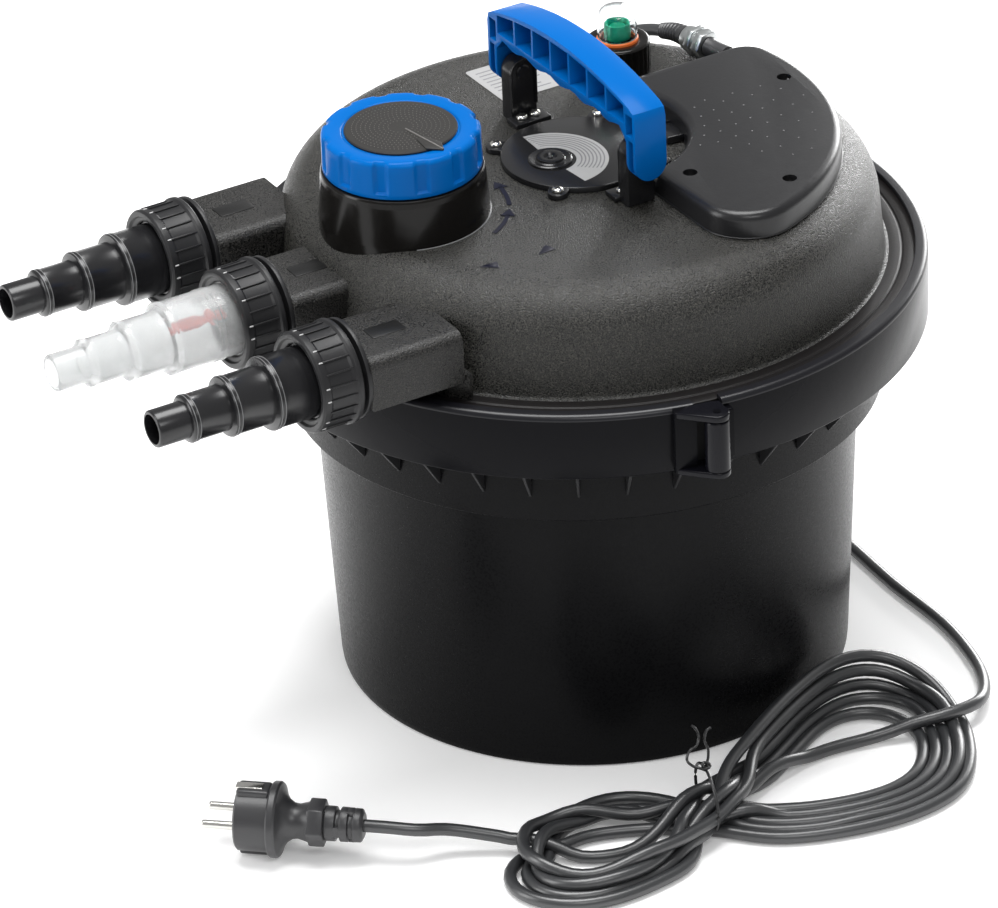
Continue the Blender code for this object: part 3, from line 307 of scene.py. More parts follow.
class Piece:
    """Gathers simple solids into one object, each with its own material."""

    def __init__(self, name):
        self.name = name
        self.bm = bmesh.new()
        self.materials = []

    def keep(self, part, mat, place):
        """Add a solid, moved to its place, and give its faces the material."""
        bmesh.ops.recalc_face_normals(part, faces=part.faces)
        if mat not in self.materials:
            self.materials.append(mat)
        index = self.materials.index(mat)
        for face in part.faces:
            face.material_index = index
        part.transform(place)
        if place.determinant() < 0:
            bmesh.ops.reverse_faces(part, faces=part.faces)
        mesh = bpy.data.meshes.new("part")
        part.to_mesh(mesh)
        part.free()
        self.bm.from_mesh(mesh)
        bpy.data.meshes.remove(mesh)
        return self

    def lathe(self, profile, mat, segments=96, place=IDENTITY, start=0, sweep=2 * pi, shape=None):
        """Turn (radius, z) points about Z. shape(radius, z, angle) may change the radius."""
        part = bmesh.new()
        full = sweep == 2 * pi
        columns = segments if full else segments + 1
        rings = []
        for radius, z in profile:
            if radius < 1e-9:
                rings.append([part.verts.new((0, 0, z))])
                continue
            ring = []
            for i in range(columns):
                a = start + sweep * i / segments
                r = shape(radius, z, a) if shape else radius
                ring.append(part.verts.new((r * cos(a), r * sin(a), z)))
            rings.append(ring)
        loops = len(rings) > 2 and len(rings[0]) > 1
        for i in range(len(rings) if loops else len(rings) - 1):
            low, high = rings[i], rings[(i + 1) % len(rings)]
            for k in range(segments):
                nxt = (k + 1) % columns
                corners = [low[k % len(low)], low[nxt % len(low)], high[nxt % len(high)],
                    high[k % len(high)]]
                unique = list(dict.fromkeys(corners))
                if len(unique) > 2:
                    part.faces.new(unique)
        if not full:
            part.faces.new([ring[0] for ring in rings])
            part.faces.new([ring[-1] for ring in reversed(rings)])
        return self.keep(part, mat, place)

    def prism(self, outline, z0, z1, mat, place=IDENTITY, bevel=0, steps=3, both=False, holes=None):
        """Extrude an outline, with its top edge rounded, and its bottom edge too if both. holes is a
        list of (x, y, radius, depth from the top)."""
        part = bmesh.new()
        low = [part.verts.new((x, y, z0)) for x, y in outline]
        high = [part.verts.new((x, y, z1)) for x, y in outline]
        count = len(outline)
        part.faces.new(low)
        part.faces.new(high)
        for i in range(count):
            part.faces.new((low[i], low[(i + 1) % count], high[(i + 1) % count], high[i]))
        bmesh.ops.recalc_face_normals(part, faces=part.faces)
        if bevel > 0:
            tops, bottoms = set(high), set(low)
            edges = [e for e in part.edges if set(e.verts) <= tops or (both and set(e.verts) <= bottoms)]
            bmesh.ops.bevel(part, geom=edges, offset=bevel, segments=steps, profile=0.5, affect="EDGES",
                clamp_overlap=False)
        if holes:
            part = drilled(part, [(x, y, radius, z1 - depth) for x, y, radius, depth in holes])
        return self.keep(part, mat, place)

    def box(self, low, high, mat, place=IDENTITY, bevel=0, steps=2):
        """A box, with every edge rounded."""
        part = bmesh.new()
        bmesh.ops.create_cube(part, size=1.0)
        for vertex in part.verts:
            vertex.co = [low[i] + (vertex.co[i] + 0.5) * (high[i] - low[i]) for i in range(3)]
        if bevel > 0:
            bmesh.ops.bevel(part, geom=list(part.edges), offset=bevel, segments=steps, profile=0.5,
                affect="EDGES", clamp_overlap=True)
        return self.keep(part, mat, place)

    def disc(self, radius, z0, z1, mat, place=IDENTITY, segments=32, bevel=0):
        """A solid disc, with its top edge rounded."""
        profile = rounded([(0, z0), (radius, z0), (radius, z1), (0, z1)], [0, 0, bevel, 0], 3, closed=False)
        return self.lathe(profile, mat, segments, place)

    def tube(self, centres, radii, mat, segments):
        """A round tube along a line. radii is one number or one for each point."""
        part = bmesh.new()
        rings = []
        for i, centre in enumerate(centres):
            ahead = centres[min(i + 1, len(centres) - 1)] - centres[max(i - 1, 0)]
            side = ahead.cross(Vector((0, 0, 1)))
            side = (side if side.length > 1e-6 else Vector((1, 0, 0))).normalized()
            up = side.cross(ahead).normalized()
            radius = radii[i] if isinstance(radii, (list, tuple)) else radii
            angles = [2 * pi * k / segments for k in range(segments)]
            rings.append([part.verts.new(centre + radius * (cos(a) * side + sin(a) * up)) for a in angles])
        for low, high in zip(rings, rings[1:]):
            for k in range(segments):
                part.faces.new((low[k], low[(k + 1) % segments], high[(k + 1) % segments], high[k]))
        part.faces.new(rings[0])
        part.faces.new(rings[-1])
        return self.keep(part, mat, IDENTITY)

    def done(self, *nodes, body="filter", slot=None, sharp=35.0):
        """Make the object, on its body and in place of the CAD nodes it stands for."""
        mesh = bpy.data.meshes.new(self.name)
        self.bm.to_mesh(mesh)
        self.bm.free()
        for mat in self.materials:
            mesh.materials.append(mat)
        mesh.shade_smooth()
        mesh.set_sharp_from_angle(angle=radians(sharp))
        obj = new_object(self.name, mesh)
        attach(obj, body)
        if nodes:
            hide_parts(*nodes)
        return obj


# ---- mains cable
def smooth_path(points, step):
    """Points about one step apart on a Catmull-Rom curve through the given points."""
    ends = [2 * points[0] - points[1]] + points + [2 * points[-1] - points[-2]]
    dense = []
    for p0, p1, p2, p3 in zip(ends, ends[1:], ends[2:], ends[3:]):
        for i in range(30):
            t = i / 30
            dense.append(0.5 * (2 * p1 + (p2 - p0) * t + (2 * p0 - 5 * p1 + 4 * p2 - p3) * t ** 2
                + (3 * p1 - p0 - 3 * p2 + p3) * t ** 3))
    dense.append(points[-1])
    line = np.array([tuple(p) for p in dense])
    return even_steps(line, step)


def distances(line):
    """How far along the line each of its points is."""
    return np.append(0, np.cumsum(np.linalg.norm(np.diff(line, axis=0), axis=1)))


def even_steps(line, step):
    lengths = distances(line)
    count = max(2, int(round(lengths[-1] / step)))
    places = np.linspace(0, lengths[-1], count + 1)
    return np.stack([np.interp(places, lengths, line[:, i]) for i in range(3)], axis=1)


GLAND_START = Vector((0.127, 0.0446, 0.3186))
GLAND_HEADING = radians(101.0)
PLUG_TAIL = Vector((-0.2305, -0.136, 0.0217))
PLUG_HEADING = radians(138.6)
TIE = Vector((-0.056, -0.212, 0.015))
# the boot starts this far along the gland, and bends down through an angle on a radius
BOOT, BEND, BEND_R = 0.0343, radians(18), 0.035
STEP = 0.006


def gland_axis(distance, drop=0):
    """A point along the gland from its foot, and below its axis by drop."""
    return GLAND_START + Vector((*polar(distance, GLAND_HEADING), -drop))


def boot_path():
    """The middle line of the boot: a short straight, a bend and a short straight."""
    points = [gland_axis(BOOT), gland_axis(BOOT + 0.004)]
    for i in range(1, 9):
        a = BEND * i / 8
        points.append(gland_axis(BOOT + 0.004 + BEND_R * sin(a), BEND_R * (1 - cos(a))))
    points.append(points[-1] + (points[-1] - points[-2]).normalized() * 0.005)
    return points


def mm(*points):
    """Points in millimetres, as vectors in metres."""
    return [Vector(p) / 1000 for p in points]


RIGHT_OUTER = ((-42, -238), (-18, -253), (10, -261), (39, -266), (64, -263), (88, -249), (108, -221),
    (119, -190), (117, -166), (107, -147), (90, -140), (70, -141), (42, -152), (12, -168), (-18, -187))
RIGHT_RISE = (0, 0, 0, 0, 0, 0.05, 0.2, 0.4, 0.65, 0.9, 1, 1, 1, 1, 0.9)
RIGHT_HEART = Vector((38.0, -206.0))
# for each turn: how much smaller its right lobe is than the outermost, and how high it leans on the tub
RIGHT_TURNS = ((1.0, 29), (0.93, 22), (0.9, 15), (0.82, 9), (0.66, 4))
LEFT_TURNS = (
    ((-80, -237, 9), (-109, -243, 7), (-137, -244, 5), (-160, -242, 4), (-177, -229, 4), (-183, -209, 5),
     (-177, -191, 6), (-159, -180, 7), (-135, -182, 8), (-110, -194, 10), (-82, -205, 12)),
    ((-81, -235, 14), (-112, -242, 11), (-139, -246, 9), (-160, -238, 8), (-173, -215, 8), (-166, -190, 7),
     (-144, -180, 6), (-118, -166, 5), (-96, -162, 6), (-78, -170, 8), (-64, -186, 10)),
    ((-78, -234, 24), (-106, -240, 22), (-132, -238, 20), (-154, -227, 19), (-167, -209, 18),
     (-168, -190, 18), (-156, -176, 18), (-138, -172, 19), (-116, -179, 19), (-94, -190, 18),
     (-76, -201, 16)),
    ((-79, -231, 19), (-106, -240, 16), (-134, -245, 14), (-155, -238, 13), (-169, -217, 13),
     (-164, -193, 13), (-140, -180, 13), (-110, -178, 12), (-84, -184, 12)),
    ((-80, -230, 10), (-108, -241, 6), (-135, -243, 4), (-157, -232, 4), (-167, -210, 4), (-158, -188, 4),
     (-136, -176, 4), (-106, -178, 4), (-78, -187, 5)),
)


def coil_route():
    """The coil's turns: each goes round the left lobe, under the crossing, and round the right."""
    points = mm((122, -207, 13), (100, -205, 17), (70, -194, 15), (38, -189, 12), (8, -191, 14),
        (-22, -200, 20))
    for turn, left in enumerate(LEFT_TURNS):
        size, rise = RIGHT_TURNS[turn]
        side = (turn % 3 - 1) * 7.5
        points += mm((-56 + 0.76 * side, -213 - 0.65 * side, 20 + 7 * (turn // 3)))
        points += mm(*left)
        points += mm((-52 + 0.94 * side, -212 + 0.35 * side, 4.5 + 7 * (turn // 3)))
        for (x, y), up in zip(RIGHT_OUTER, RIGHT_RISE):
            place = RIGHT_HEART + (Vector((x, y)) - RIGHT_HEART) * size
            points += mm((place.x, place.y, 4.0 + up * rise + 1.2 * (turn % 2)))
    points += mm((-58, -206, 28), (-82, -213, 20), (-108, -216, 14), (-129, -210, 11), (-145, -195, 10),
        (-162, -175, 10))
    return points


# how settle() moves the cable in each round: its share of an overlap, the most it may push, its share
# of the bending and of what is past a limit on bends, and how far it sinks
PUSH, MOST_PUSH, UNBEND, EASE, SINK = 0.3, 0.0012, 0.9, 0.6, 0.00006
# steps to each side of a point, and how far it may stand out from the chord between them: this keeps
# bends near four diameters
BEND_LIMITS = ((2, 0.0022), (3, 0.0046), (4, 0.008))
# the tub's outside: its radius at the floor, how it widens with height, and its height
TUB_FOOT, TUB_FLARE, TUB_HEIGHT = 0.1472, 0.0463, 0.17


def settle(line, held, rounds):
    """Let the cable's turns push each other apart and rest on the floor and against the tub."""
    radius = CORD_D / 2
    index = np.arange(len(line))
    near = np.abs(index[:, None] - index[None, :]) < 5
    free = ~held
    for _ in range(rounds):
        gap = line[:, None, :] - line[None, :, :]
        distance = np.linalg.norm(gap, axis=2)
        overlap = np.where(near, 0, np.clip(CORD_D * 1.01 - distance, 0, None))
        push = (gap / np.maximum(distance, 1e-6)[:, :, None] * overlap[:, :, None]).sum(axis=1) * PUSH
        size = np.linalg.norm(push, axis=1, keepdims=True)
        push *= np.minimum(1.0, MOST_PUSH / np.maximum(size, 1e-9))
        line[free] += push[free]
        bend = np.zeros_like(line)
        bend[2:-2] = (-line[:-4] + 4 * line[1:-3] - 6 * line[2:-2] + 4 * line[3:-1] - line[4:]) / 16
        line[free] += bend[free] * UNBEND
        for reach, most in BEND_LIMITS:
            across = (line[:-2 * reach] + line[2 * reach:]) / 2 - line[reach:-reach]
            rise = np.linalg.norm(across, axis=1, keepdims=True)
            ease = np.zeros_like(line)
            ease[reach:-reach] = across / np.maximum(rise, 1e-9) * np.clip(rise - most, 0, None)
            line[free] += ease[free] * EASE
        line[free, 2] -= SINK
        line[:, 2] = np.maximum(line[:, 2], radius + 0.0001)
        outward = np.linalg.norm(line[:, :2], axis=1)
        wall = TUB_FOOT + TUB_FLARE * np.clip(line[:, 2], 0, TUB_HEIGHT) + radius
        short = np.clip(wall - outward, 0, None) * (line[:, 2] < TUB_HEIGHT) * free
        line[:, :2] += line[:, :2] / outward[:, None] * short[:, None]
    return line


# the lengths of cable that settle() leaves where they are, and how many rounds it makes
HELD_AT_START, HELD_AT_END = 0.85, 0.08
ROUNDS, QUICK_ROUNDS = 160, 30


def add_cable():
    """One cable from the gland's boot, behind and round the tub, through the coil and on to the plug."""
    boot = boot_path()
    away = (boot[-1] - boot[-2]).normalized()
    behind = [boot[-1] - away * 0.004, boot[-1] + away * 0.015]
    behind += mm((104.5, 133, 301.2), (96, 148, 286), (85, 178, 268), (76, 204, 256), (68, 224, 230),
        (65, 230, 190), (70, 229, 130), (85, 224, 60), (105, 214, 20), (132, 195, 3.8), (158, 155, 3.8),
        (171, 100, 3.8), (174, 40, 3.8), (171.6, -12, 3.8), (168.5, -60, 3.8), (168, -112, 3.8),
        (161, -150, 5), (152, -176, 6), (138, -197, 9))
    heading = Vector((*polar(1.0, PLUG_HEADING), 0))
    end = mm((-189, -158, 16), (-207, -154, 20))
    end += [PLUG_TAIL - heading * 0.012, PLUG_TAIL + heading * 0.002]
    line = smooth_path(behind + coil_route() + end, STEP)
    lengths = distances(line)
    held = (lengths < HELD_AT_START) | (lengths > lengths[-1] - HELD_AT_END)
    line = settle(line, held, ROUNDS)
    line = even_steps(line, STEP)
    curve = bpy.data.curves.new("mains_cable_look", "CURVE")
    curve.dimensions = "3D"
    curve.bevel_depth = CORD_D / 2
    curve.bevel_resolution = 5
    curve.use_fill_caps = True
    spline = curve.splines.new("POLY")
    spline.points.add(len(line) - 1)
    for point, place in zip(spline.points, line):
        point.co = (*place, 1.0)
    curve.materials.append(CABLE)
    cable = new_object("mains_cable_look", curve)
    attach(cable, "filter")
    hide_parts("mains_cable", "cable_hank", "plug_lead")
    return cable, list(line[0]), float(distances(line)[-1])


def add_tie():
    """A thin wire twisted round the coil's waist, with its two ends standing up."""
    tie = Piece("tie_look")
    loop = []
    for i in range(41):
        a = 2 * pi * i / 40 + pi / 2
        loop.append(TIE + Vector((0.006 * cos(a), 0.0215 * cos(a), 0.0035 + 0.0175 * sin(a))))
    tie.tube(loop, 0.0009, WIRE, 10)
    top = TIE + Vector((0, 0, 0.0215))
    first = mm((0, 0, -1), (2, 3, 1), (5, 6, 2), (7, 9, 6), (6, 11, 11), (8, 12, 16), (11, 12, 17))
    second = mm((0, 0, -1), (-3, 1, 1), (-6, 4, 2), (-8, 7, 5), (-5, 9, 9), (0, 10, 10), (3, 12, 14),
        (1, 12, 20), (-1, 13, 22))
    for end in (first, second):
        path = smooth_path([top + point for point in end], 0.0015)
        tie.tube([Vector(p) for p in path], 0.0008, WIRE, 8)
    angles = [0.7 * i for i in range(14)]
    knot = [top + Vector((0.0022 * cos(a), 0.0022 * sin(a), 0.0004 * a)) for a in angles]
    tie.tube(knot, 0.0009, WIRE, 8)
    return tie.done("cable_tie", slot="cable_black")


def plug_frame():
    """Local +Z points to the pins and local -X points up."""
    return Matrix.Translation(PLUG_TAIL) @ rotation(PLUG_HEADING) @ rotation(radians(90), "Y")


def add_plug():
    """An earthed plug: ribbed tail, hexagon, round neck and body with earth strips, and two pins."""
    plug = Piece("plug_look")
    place = plug_frame()
    relief = flat_mm((0, 0.2), (7, 0.2), (9.4, 1.6), (9.6, 5.6), (7.8, 6), (7.8, 8.2), (9.7, 8.6),
        (9.8, 13), (7.8, 13.4), (7.8, 15.4), (9.8, 15.8), (9.9, 21.2), (9, 22.2), (0, 22.2))
    plug.lathe(rounded(relief, 0.0006, 2, closed=False), RUBBER, 48, place)
    for start in (0, 0.0074, 0.015):
        for turn in (0, pi):
            spin = place @ rotation(turn + (pi / 2 if start == 0.0074 else 0))
            plug.box((0.007, -0.003, start + 0.0052), (0.0097, 0.003, start + 0.009), RUBBER, spin, 0.0004)
    hexagon = rounded([polar(0.0136, radians(30 + 60 * i)) for i in range(6)], 0.0012, steps=2)
    plug.prism(hexagon, 0.0218, 0.0312, RUBBER, place, 0.0012, 2, both=True)
    neck = flat_mm((0, 30), (11.8, 30.2), (10.8, 33), (9.8, 36.8), (10.2, 40), (12.4, 43.2), (16.5, 45.8),
        (20.5, 47), (21.4, 48.2), (21.4, 51.2), (20.6, 52.2), (18.6, 52.6), (18.4, 70), (17.2, 71.1),
        (0, 71.1))
    plug.lathe(neck, RUBBER, 64, place)
    plug.box((-0.0208, -0.0062, 0.0518), (-0.012, 0.0062, 0.0706), RUBBER, place, 0.0016, 3)
    plug.box((-0.0214, -0.0028, 0.056), (-0.02, 0.0028, 0.0713), STEEL, place, 0.0003)
    plug.box((0.012, -0.0062, 0.0518), (0.0206, 0.0062, 0.0706), RUBBER, place, 0.0016, 3)
    body = plug.done("plug_body", slot="rubber_black")
    pins = Piece("plug_pins_look")
    for side in (1, -1):
        profile = rounded(flat_mm((0, 70), (2.4, 70), (2.4, 90), (0, 90)), [0, 0, 0.0014, 0], closed=False)
        pins.lathe(profile, STEEL, 24, place @ at(0, 0.0095 * side))
    return [body, pins.done("plug_pin_1", "plug_pin_2", slot="steel")]


def add_cord():
    """The cable with what is on it."""
    cable, start, length = add_cable()
    pieces = [add_tie()] + add_plug()


# ---- hose side
def add_nut(key, y):
    """A union nut with a plain front band, thin grip ribs and a shoulder at the back."""
    nut = Piece(f"nut_{key}_look")
    place = pipe_frame(y)
    profile = flat_mm((23.6, 0), (29, 0), (29.7, 0.8), (29.7, 3), (28.4, 4), (27.9, 5.6), (27.7, 19),
        (28.3, 20), (28.5, 23.6), (27.6, 25), (25, 25), (24, 23.6), (22.2, 23.2), (21.3, 22.6),
        (21.3, 21.4), (23.6, 21.4))
    nut.lathe(rounded(profile, 0.0006, steps=3), MOULDED, 144, place)
    for i in range(24):
        spin = place @ rotation(2 * pi * i / 24)
        nut.box((0.027, -0.0005, 0.0036), (0.0287, 0.0005, 0.0206), MOULDED, spin, 0.0003)
        # pale pips on the front ends of two ribs in three: painted highlights where the rib ends catch the
        # light
        if i % 3 != 2:
            nut.box((0.027, -0.0004, 0.0202), (0.0288, 0.0004, 0.0226), RIB_END_HIGHLIGHT, spin, 0.0003)
    nut.done(f"union_nut_{key}", body=f"nut_{key}")


def tail_outline(steps, ridges):
    """Outside of a stepped tail: each section ends in two raised rings."""
    outer = []
    start = 0.0212
    for i, end in enumerate(steps):
        r = TAIL_RADII[i]
        outer.append((r, start))
        if i < 3:
            outer += [(r, end - 0.0044), (r + 0.0003, end - 0.0041), (r + 0.0003, end - 0.0036),
                (r, end - 0.0033)]
            outer += [(r, end - 0.0026), (r + 0.0005, end - 0.0023), (r + 0.0005, end - 0.0013),
                (r, end - 0.0004)]
            outer.append((TAIL_RADII[i + 1] + 0.0008, end))
            start = end + 0.0003
        else:
            outer += [(r, end - 0.0011), (r - 0.0003, end - 0.0004), (r - 0.001, end)]
    for z in ridges:
        index = next(i for i, point in enumerate(outer) if point[1] > z)
        r = TAIL_RADII[0]
        outer[index:index] = [(r, z - 0.0012), (r + 0.0005, z - 0.0008), (r + 0.0005, z + 0.0004),
            (r, z + 0.0008)]
    return sorted(outer, key=lambda point: point[1]) if ridges else outer


def add_tail(key, y, steps, mat, chamber, ridges=()):
    """A hollow stepped tail. The black ones have two pale rings at each step, painted highlights on the
    step's ridges.
    """
    tail = Piece(f"tail_{key}_look")
    bore = 0.0021
    flange = [(0.023, 0.0181), (0.023, 0.0209)]
    inner = [(TAIL_RADII[3] - bore, steps[3]), (TAIL_RADII[3] - bore, steps[2] - 0.004),
        (TAIL_RADII[2] - bore, steps[2] - 0.007), (TAIL_RADII[2] - bore, steps[1] - 0.003),
        (TAIL_RADII[1] - bore, steps[1] - 0.006), (TAIL_RADII[1] - bore, steps[0] + 0.002),
        (chamber, steps[0] - 0.005), (chamber, 0.0181)]
    tail.lathe(flange + tail_outline(steps, ridges) + inner, mat, 128, pipe_frame(y))
    # two pale rings at each step: painted highlights on the ridges
    if mat is not CLEAR:
        for r, end in zip(TAIL_RADII[:3], steps):
            for z, proud in ((end - 0.004, 0.0004), (end - 0.0017, 0.0006)):
                ring = [(r - 0.0002, z), (r + proud, z), (r + proud, z + 0.0005), (r - 0.0002, z + 0.0005)]
                tail.lathe(rounded(ring, 0.0002, steps=2), RING, 96, pipe_frame(y))
    tail.done(f"hose_tail_{key}", sharp=50)


def add_flap():
    """The red paddle on its cross pin."""
    flap = Piece("flap_look")
    x, y, z = FLAP_PIVOT
    outline = flat_mm((0, -2.8), (0, 2.8), (-6, 3), (-9.5, 5), (-21.5, 5), (-23.4, 3), (-23.4, -3),
        (-21.5, -5), (-9.5, -5), (-6, -3))
    outline = rounded(outline, 0.0016, 3)
    flap.prism(outline, -0.001, 0.001, RED, at(x, y, z), 0.0004, 2, both=True)
    flap.box((0.001, -0.0032, -0.0016), (0.0088, 0.0032, 0.0016), RED, at(x, y, z), 0.0008)
    flap.disc(0.003, -0.0045, 0.0045, RED, at(x, y, z) @ rotation(radians(90), "X"), 24, 0.0006)
    flap.disc(0.0012, -0.0165, 0.0165, STEEL, at(x, y, z) @ rotation(radians(90), "X"), 16, 0.0003)
    flap.done("flow_flap", body="flap")


# ---- dial
def add_dial():
    """The blue ring with its twelve grips, and the dark face with a beak that points at the scale."""
    place = at(DIAL_X, 0)
    z0, z1 = 0.3393, 0.3612

    def grips(radius, z, angle):
        if radius < 0.041:
            return radius
        across = abs((angle * 12 / (2 * pi)) % 1 - 0.5) * 2 / 0.38
        depth = 0.0018 * max(0, 1.0 - across ** 4)
        return radius - depth * min(1.0, max(0, (z - z0 - 0.003) / 0.0008))

    profile = flat_mm((40.5, 0), (44, 0), (44.4, 0.6), (44.4, 2.8), (44.3, 3.8), z=z0)
    profile += flat_mm((44.2, -8), (44.2, -6), z=z1)
    profile += arc((0.041, z1 - 0.0032), 0.0032, radians(4), radians(86), 9)
    profile += flat_mm((39, 0), (33.6, -0.4), (32.8, -0.8), (32.4, -1.4), (0, -1.4), z=z1)
    profile += flat_mm((0, 3.2), (40.5, 3.2), z=z0)
    ring = Piece("dial_ring_look").lathe(profile, BLUE, 360, place, shape=grips)
    ring.done("dial_ring", body="dial", sharp=50)
    face = Piece("dial_face_look")
    top = z1 + 0.0003
    section = flat_mm((0, -1.5), (31.2, -1.5), (31.4, -0.6), (30.8, 0), (29, 0.1), (0, 0.3), z=top)
    face.lathe(section, DISC, 128, place)
    beak = flat_mm((18, -3.4), (30.2, -6.6), (38.3, 0), (30.2, 4.4), (18, 2))
    beak = rounded(beak, 0.0007, steps=2)
    turned = place @ rotation(POINTER)
    face.prism(beak, z1 + 0.0002, top + 0.0007, DISC, turned, 0.0003, 2)
    face.box((0.004, -0.0004, top - 0.0002), (0.0372, 0.0004, top + 0.001), DISC_EDGE, turned, 0.0003)
    for row in range(9):
        radius = 0.007 + 0.0025 * row
        count = int(2 * pi * radius / 0.0023)
        for i in range(count):
            a = 2 * pi * i / count + 0.4 * row
            x, y = polar(radius, a)
            face.disc(0.0003, top, top + 0.00045, DISC_EDGE, place @ at(x, y), 6)
    face.done("dial_disc", body="dial")


def add_housing():
    """The round black housing under the dial, with a pale seam on its front."""
    housing = Piece("housing_look")
    place = at(DIAL_X, 0)
    profile = flat_mm((7, 332.8), (7, 338.5), (44, 338.5), (45, 338.2), (45.5, 337), (45.9, 334),
        (47.6, 311), (47.6, 297.6), (44.6, 297.6), (43.6, 332.8))
    housing.lathe(rounded(profile, 0.0005), GLOSSY, 144, place)
    seam = flat_mm((47, 309), (48.1, 309), (48.1, 309.8), (47, 310.2))
    housing.lathe(seam, RING, 96, place, radians(-112), radians(190))
    housing.done("valve_housing", sharp=50)


# ---- handle, brackets and screws
def refined(name, node, mat, width):
    """The CAD solid with its flat faces whole again and its sharp edges rounded."""
    source = bpy.data.objects[node]
    bm = bmesh.new()
    bm.from_mesh(source.data)
    bm.transform(source.matrix_world)
    bmesh.ops.remove_doubles(bm, verts=bm.verts, dist=0.00002)
    bmesh.ops.dissolve_limit(bm, angle_limit=radians(1.5), verts=bm.verts, edges=bm.edges)
    sharp = [e for e in bm.edges if len(e.link_faces) == 2 and e.calc_face_angle(0) > radians(35)]
    bmesh.ops.bevel(bm, geom=sharp, offset=width, segments=2, profile=0.5, affect="EDGES",
        clamp_overlap=True)
    piece = Piece(name)
    piece.keep(bm, mat, IDENTITY)
    return piece


def add_handle():
    """The blue handle, and its two brackets with a raised rim, a round pin and a screwed foot."""
    refined("handle_look", "handle", BLUE, 0.0007).done("handle", body="handle", sharp=40)
    half, z0 = 0.0086, LID_TOP + 0.0003
    outline = [(-half, z0), (half, z0)] + arc((0, PIVOT_Z), half, 0, pi, 24)
    rim = [(half, z0 + 0.008)] + arc((0, PIVOT_Z), half, 0, pi, 24) + [(-half, z0 + 0.008)]
    half -= 0.0014
    rim += [(-half, z0 + 0.008)] + arc((0, PIVOT_Z), half, pi, 0, 24) + [(half, z0 + 0.008)]
    for key, side in (("a", -1), ("c", 1)):
        bracket = Piece(f"bracket_{key}_look")
        across = Matrix(((1, 0, 0, 0), (0, 0, side, 0), (0, 1, 0, 0), (0, 0, 0, 1)))
        bracket.prism(outline, 0.0582, 0.0682, SATIN, across, 0.0008, 3, both=True)
        bracket.prism(rim, 0.057, 0.0592, SATIN, across, 0.0004, 2, both=True)
        bracket.lathe([(0, 0.0572), (0.0036, 0.0572), (0.0044, 0.0578), (0.0044, 0.059), (0, 0.059)], SATIN,
            40, at(0, 0, PIVOT_Z) @ across)
        bracket.disc(0.003, 0.067, 0.0764, SATIN, at(0, 0, PIVOT_Z) @ across, 32, 0.0004)
        low, high = sorted((side * 0.0475, side * 0.059))
        bracket.box((-0.0115, low, z0), (0.0115, high, z0 + 0.0029), SATIN, IDENTITY, 0.0006)
        bracket.done(f"bracket_{key}")


def add_screw(piece, x, y, seat, radius):
    """A pan-head screw with a cross recess drawn as two dark bars on the head: painted shade."""
    place = at(x, y) @ rotation(x * 37 + y * 91)
    profile = [(0, seat - 0.0025), (0.0011, seat - 0.0025), (0.0011, seat), (radius, seat),
        (radius, seat + 0.0008)]
    profile += [(radius * 0.93, seat + 0.0013), (radius * 0.72, seat + 0.0018),
        (radius * 0.4, seat + 0.0021), (0, seat + 0.0022)]
    piece.lathe(profile, STEEL, 32, place)
    # the cross is two dark bars laid on the head, not cut into it: painted shade
    for turn in (0, pi / 2):
        piece.box((-radius * 0.58, -0.0004, seat + 0.0014), (radius * 0.58, 0.0004, seat + 0.00228), PAINTED_SHADE,
            place @ rotation(turn))


def add_screws():
    """Four screws in the centre cover, two in each bracket, and three deep in the lamp cover."""
    on_cover = [polar(0.0475, a) for a in SCREW_ANGLES]
    on_brackets = [(x, y) for y in (-0.0538, 0.0538) for x in (-0.0043, 0.0043)]
    for kind, places, seat, radius in (("cover", on_cover, 0.3131, 0.0033),
            ("bracket", on_brackets, 0.3131, 0.0033), ("uvc", UVC_SCREWS, UVC_SCREW_SEAT, 0.0034)):
        for i, (x, y) in enumerate(places, 1):
            screw = Piece(f"{kind}_screw_{i}_look")
            add_screw(screw, x, y, seat, radius)
            screw.done(f"{kind}_screw_{i}")


# ---- lid fittings
def add_centre_cover():
    """The round cover with four ears, an off-centre boss and a blank silver label of plain arcs."""
    cover = Piece("centre_cover_look")
    z0, z1 = SEAT, 0.3132
    cover.lathe([(0, z0), (0.0435, z0)] + flat_mm((43.5, -0.9), (43.2, -0.3), (42.5, 0), (0, 0), z=z1),
        SATIN, 128)
    for a in SCREW_ANGLES:
        spin = rotation(a)
        tab = [(0.04, -0.006)] + arc((0.0475, 0), 0.0057, -pi / 2, pi / 2, 10) + [(0.04, 0.006)]
        cover.prism(tab, z0, z1 - 0.0004, SATIN, spin, 0.0006, 2)
    boss = at(BOSS_X, 0)
    cover.lathe(flat_mm((0, -0.5), (12.7, -0.5), (12.4, 1.2), (11.6, 1.6), (9.8, 1.2), (8.8, 1), (8, 1.4),
        (7.6, 2.6), (6.6, 2.9), (4, 2.6), (3.2, 1.4), (0, 1.2), z=z1), SATIN, 64, boss)
    cover.disc(0.0014, z1, z1 + 0.0026, RUBBER, boss, 16, 0.0004)
    cover.lathe(flat_mm((14.6, 0.04), (32.7, 0.04), (32.7, 0.16), (14.6, 0.16), z=z1), SILVER, 96, boss,
        radians(-85), radians(172))
    for i in range(7):
        r = 0.0172 + 0.0021 * i
        cover.lathe([(r, z1 + 0.0001), (r + 0.0008, z1 + 0.0001), (r + 0.0008, z1 + 0.0002),
            (r, z1 + 0.0002)], PRINT, 80, boss, radians(-62 + 1.5 * i), radians(140))
    cover.done("centre_cover")


